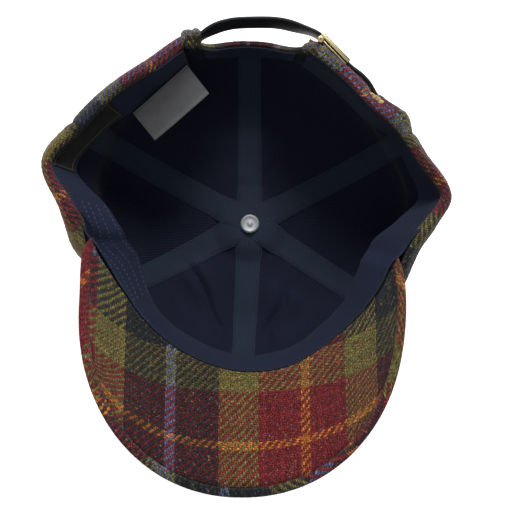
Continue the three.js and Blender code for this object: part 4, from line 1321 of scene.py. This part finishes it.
def smooth_line(points, steps=24):
    """A line through points that bends evenly between them, however far apart they are."""
    points = np.array(points)
    points = np.vstack([2 * points[0] - points[1], points, 2 * points[-1] - points[-2]])
    line = []
    for a, b, c, d in zip(points, points[1:], points[2:], points[3:]):
        first, middle, last = (np.sqrt(np.linalg.norm(q - p)) for p, q in ((a, b), (b, c), (c, d)))
        start = (b - a) / first - (c - a) / (first + middle) + (c - b) / middle
        end = (c - b) / middle - (d - b) / (middle + last) + (d - c) / last
        t = np.linspace(0, 1, steps, endpoint=False)[:, None]
        start, end = start * middle, end * middle
        bend = (3 * (c - b) - 2 * start - end) * t**2 + (2 * (b - c) + start + end) * t**3
        line.append(b + start * t + bend)
    return np.vstack([*line, points[-2]])


def strap_line():
    height = STRAP["height"]
    clamp, quarter = BUCKLE["length"] / 2 + 2, BUCKLE["length"] / 4
    points = [at_strap(angle, depth, height) for angle, depth in ((110.4, 6), (109.2, 3.4))]
    points += [np.array([x, y, height]) for x, y in STRAP_FREE]
    points += [in_buckle(x, 0, 0) for x in (-clamp, -quarter, quarter, clamp)]
    points += [at_strap(angle, -out, height - drop) for angle, out, drop in STRAP_TAIL]
    return smooth_line(points)


def ringed_solid(name, places, count, material):
    """A solid of rings of count points in metres, one after another, closed at both ends."""
    firsts = range(0, len(places) - count, count)
    faces = [
        (i + j, i + (j + 1) % count, i + count + (j + 1) % count, i + count + j)
        for i in firsts
        for j in range(count)
    ]
    last = len(places) - count
    faces += [tuple(range(count))[::-1], tuple(last + j for j in range(count))]
    mesh = bpy.data.meshes.new(name)
    mesh.from_pydata(places, [], faces)
    return finished(name, mesh, material)


def band_along(name, line, section, material, lean=0):
    """A closed band that follows a line. Its section is a ring of points: outwards, and up."""
    along = unit(np.gradient(line, axis=0) * np.array([1, 1, 0]))
    out = np.stack([-along[:, 1], along[:, 0], 0 * along[:, 0]], -1)
    section = np.array(section)
    aside = section[None, :, :1] + np.reshape(lean, (-1, 1, 1)) * section[None, :, 1:]
    ring = line[:, None, :] + out[:, None, :] * aside + np.array([0, 0, 1]) * section[None, :, 1:]
    places = (ring.reshape(-1, 3) * MM).tolist()
    return ringed_solid(name, places, len(section), material)


def rounded_section(width, thickness, bevel):
    """A flat section on edge with rounded corners, as a ring of points."""
    ring = []
    for out, up, start in ((1, -1, -90), (1, 1, 0), (-1, 1, 90), (-1, -1, 180)):
        centre = np.array([out * (thickness / 2 - bevel), up * (width / 2 - bevel)])
        for turn in np.radians(np.linspace(start, start + 90, 4)):
            ring.append(centre + bevel * np.array([np.cos(turn), np.sin(turn)]))
    return ring


LEATHER = plain_material(
    "black_leather", (34, 36, 37), 0.42, patchy=0.3, grain=2600.0, relief=0.08
)
LEATHER.node_tree.nodes["Principled BSDF"].inputs["Specular IOR Level"].default_value = 0.3
CREAM_WOOL = plain_material(
    "cream_wool", (196, 168, 112), 0.9, patchy=0.3, grain=2600.0, relief=0.3
)
LIP_LUMPS = [
    # place, size
    ((66.9, 68.2, 98), (1.7, 1.3, 1.9)),
    ((68.5, 66.9, 98.1), (1.9, 1.4, 1.8)),
    ((70.2, 65.6, 98.1), (2, 1.5, 1.8)),
    ((71.9, 64, 98), (1.9, 1.5, 1.8)),
]


def strap():
    line = strap_line()
    free = smooth(-30, -18, line[:, 0]) * smooth(36, 22, line[:, 0]) * (line[:, 1] > 80)
    section = rounded_section(STRAP["width"], STRAP["thickness"], 0.6)
    piece = band_along("strap", line, section, LEATHER, STRAP_LEAN * free)
    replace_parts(piece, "strap")


strap()
bunched("slot_lip", LIP_LUMPS, (0, 0), CREAM_WOOL)

# The buckle
# A pale brass plate clamps the strap against a frame behind it and turns on a pin along the left
# end. A tab of the tweed, sewn beside the arch, hooks round the pin.
HINGE = {"x": -9, "z": -1.9, "pin": 0.7, "ring": 1.8}
TAB = {"width": 14, "thickness": 1.2, "height": 90}
ARM = 1.2
BRASS = plain_material(
    "pale_brass", (224, 208, 160), 0.38, metallic=1.0, patchy=0.12, grain=1500.0
)
RUST_WOOL = plain_material(
    "rust_wool", (150, 84, 62), 0.9, patchy=0.35, grain=3000.0, relief=0.3
)


def beveled(name, build, bevel, material):
    """A solid made by build in the buckle's own frame, in mm, with rounded edges."""
    shape = bmesh.new()
    build(shape)
    edges = [edge for edge in shape.edges if edge.calc_face_angle(0) > 0.6]
    bmesh.ops.bevel(shape, geom=edges, offset=bevel, segments=3, affect="EDGES", profile=0.5)
    for vertex in shape.verts:
        vertex.co = Vector(in_buckle(*vertex.co) * MM)
    bmesh.ops.recalc_face_normals(shape, faces=shape.faces)
    mesh = bpy.data.meshes.new(name)
    shape.to_mesh(mesh)
    shape.free()
    return finished(name, mesh, material, sharp=35)


def add_box(shape, size, middle):
    made = bmesh.ops.create_cube(shape, size=1)
    for vertex in made["verts"]:
        vertex.co = Vector(np.array(vertex.co) * size + np.array(middle))


def add_rod(shape, radius, length, middle):
    sizes = {"radius1": radius, "radius2": radius, "depth": length}
    turned = Matrix.Rotation(np.pi / 2, 4, "X")
    made = bmesh.ops.create_cone(shape, cap_ends=True, segments=24, **sizes, matrix=turned)
    for vertex in made["verts"]:
        vertex.co += Vector(middle)


def buckle_plate(shape):
    length, width, plate, cheek = (BUCKLE[key] for key in ("length", "width", "plate", "side"))
    front = STRAP["thickness"] / 2 + BUCKLE["gap"]
    depth = front + plate + 0.4
    add_box(shape, (length, width, plate), (0, 0, front + plate / 2))
    for side in (-1, 1):
        y = side * (width - cheek) / 2
        add_box(shape, (length, cheek, depth), (0, y, front + plate - depth / 2))
        add_rod(shape, HINGE["ring"], cheek, (HINGE["x"], y, HINGE["z"]))


def buckle_frame(shape):
    plate = BUCKLE["plate"]
    width = BUCKLE["width"] - 2 * (BUCKLE["side"] + BUCKLE["gap"])
    behind = -(STRAP["thickness"] / 2 + BUCKLE["gap"] + plate / 2)
    left = HINGE["x"] + HINGE["ring"] + 0.2
    right = BUCKLE["length"] / 2 - 0.4
    add_box(shape, (right - left, width, plate), ((left + right) / 2, 0, behind))
    for side in (-1, 1):
        size = (left - HINGE["x"] + 0.4, ARM, plate)
        add_box(shape, size, ((left + HINGE["x"] + 0.4) / 2, side * (width - ARM) / 2, behind))
    add_rod(shape, HINGE["pin"], BUCKLE["width"], (HINGE["x"], 0, HINGE["z"]))


def buckle_tab():
    clear = HINGE["pin"] + 0.3 + TAB["thickness"] / 2
    points = [at_strap(angle, -1.3, TAB["height"]) for angle in (71.6, 70.8, 70)]
    for turn in np.radians((-70, -45, -15, 20)):
        point = in_buckle(HINGE["x"] + clear * np.cos(turn), 0, HINGE["z"] + clear * np.sin(turn))
        points.append(np.array([point[0], point[1], TAB["height"]]))
    section = rounded_section(TAB["width"], TAB["thickness"], 0.4)
    return band_along("buckle_tab", smooth_line(points, 8), section, RUST_WOOL)


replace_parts(beveled("buckle_plate", buckle_plate, 0.3, BRASS), "buckle_plate")
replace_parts(beveled("buckle_frame", buckle_frame, 0.25, BRASS), "buckle_frame")
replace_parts(buckle_tab(), "buckle_tab")

# The button and its rivet
# A cloth-covered button closes the top of the crown, under the cap as it lies. Its shank comes
# through the middle and is riveted over a small domed disc of bright metal inside.
BUTTON = {"radius": 7.5, "shank": 0.3, "middle": 2.5, "half_height": 2.45}
RIVET_BASE = 10.4
RIVET = [
    # radius, height over the disc's underside
    (0.3, -5),
    (1.6, -5),
    (1.6, 0),
    (5.5, 0),
    (5.8, 0.4),
    (5.75, 1.1),
    (5.3, 1.9),
    (4.7, 2.2),
    (4.2, 1.9),
    (3.5, 1.5),
    (2.0, 1.3),
    (1.5, 1.6),
    (1.2, 2.1),
    (0.3, 2.25),
]
RIVET_METAL = plain_material(
    "satin_metal", (200, 201, 206), 0.6, metallic=0.5, patchy=0.1, grain=2400.0
)
ROUND_STEPS = 48


def turned_piece(name, outline, material):
    """A piece turned round the cap's upright axis from an outline of radii and heights."""
    turn = np.linspace(0, 2 * np.pi, ROUND_STEPS, endpoint=False)
    places = [
        (radius * np.cos(a) * MM, radius * np.sin(a) * MM, height * MM)
        for radius, height in outline
        for a in turn
    ]
    return ringed_solid(name, places, ROUND_STEPS, material)


def button():
    bulge = np.radians(np.linspace(-90, 80, 14))
    reach = BUTTON["shank"] + (BUTTON["radius"] - BUTTON["shank"]) * np.cos(bulge) ** 0.6
    outline = list(zip(reach, BUTTON["middle"] + BUTTON["half_height"] * np.sin(bulge)))
    piece = turned_piece("button", outline, TWEED_CLOTH)
    mark_cloth(piece.data, [(point.co.x / MM, point.co.y / MM, 0) for point in piece.data.vertices])
    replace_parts(piece, "button_cover")


button()
rivet = [(radius, RIVET_BASE + height) for radius, height in RIVET]
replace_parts(turned_piece("rivet", rivet, RIVET_METAL), "button_rivet")

# The labels
# A pale satin care label is folded in two and hangs from under the sweatband; its colour is
# darkened to a grey for the shade it hangs in, as painted shade. A black woven label lies flat on
# the band, with a thin woven line round its edge. Both are bare.
CARE_LABEL = {
    "top": ((-34.6, 86.3, 86.5), (-65.7, 60.8, 75.5)),
    "bottom": ((-22.8, 72.2, 75), (-54.3, 46.7, 64)),
    "hang": 4,
}
# The pale satin is coloured a darker grey for the shade it hangs in: painted shade.
SHADED_SATIN = plain_material(
    "pale_satin_painted_shade", (106, 107, 109), 0.5, patchy=0.08, grain=3500.0, relief=0.05
)
WOVEN_BLACK = plain_material(
    "black_weave", (30, 30, 30), 0.8, patchy=0.35, grain=5000.0, relief=0.15
)
OLIVE_THREAD = plain_material("olive_thread", (104, 98, 72), 0.7)
BAND_LABEL = {"from": 139.5, "to": 165.5}


def care_label():
    along = np.linspace(0, 1, 40)[:, None, None]
    down = np.linspace(0, 1, 50)[None, :, None]
    ends = [np.array(CARE_LABEL[edge], float) for edge in ("top", "bottom")]
    top, bottom = (start + (end - start) * along for start, end in ends)
    middle = top - np.array([0, 0, CARE_LABEL["hang"]])
    sheet = top * (1 - down) ** 2 + 2 * middle * down * (1 - down) + bottom * down**2
    facing = unit(np.cross(np.gradient(sheet, axis=0), np.gradient(sheet, axis=1)))
    bow = 0.8 * np.sin(np.pi * along) * down + 0.25 * ripple(sheet, 16, 41)[..., None] * down
    outer = sheet + facing * bow
    inner = sheet + facing * (bow + 0.5 + 0.7 * np.exp(-(((0.985 - down) / 0.02) ** 2)))
    piece = wall("care_label", outer, inner, SHADED_SATIN, None, sharp=60)
    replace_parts(piece, "label_care")


def woven_label():
    across = np.linspace(BAND_LABEL["from"], BAND_LABEL["to"], 60)[:, None]
    rows = np.linspace(2.6, BAND_WIDTH - 1.8, 40)[None, :]
    outer, inner = (
        band_point(across, rows, np.full((60, 40), BAND + more)) for more in (0.05, 0.5)
    )
    piece = wall("woven_label", outer, inner, WOVEN_BLACK, None, sharp=60)
    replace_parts(piece, "label_woven")
    angles = np.linspace(BAND_LABEL["from"] + 0.8, BAND_LABEL["to"] - 0.8, 60)
    drops = np.linspace(4.2, BAND_WIDTH - 3.4, 30)
    edges = [band_point(angles, np.full(60, drop), BAND + 0.5) for drop in drops[[0, -1]]]
    edges += [band_point(np.full(30, angle), drops, BAND + 0.5) for angle in angles[[0, -1]]]
    stitches("stitches_woven_label", edges, OLIVE_THREAD, (1.1, 1.0, 0.4))


care_label()
woven_label()
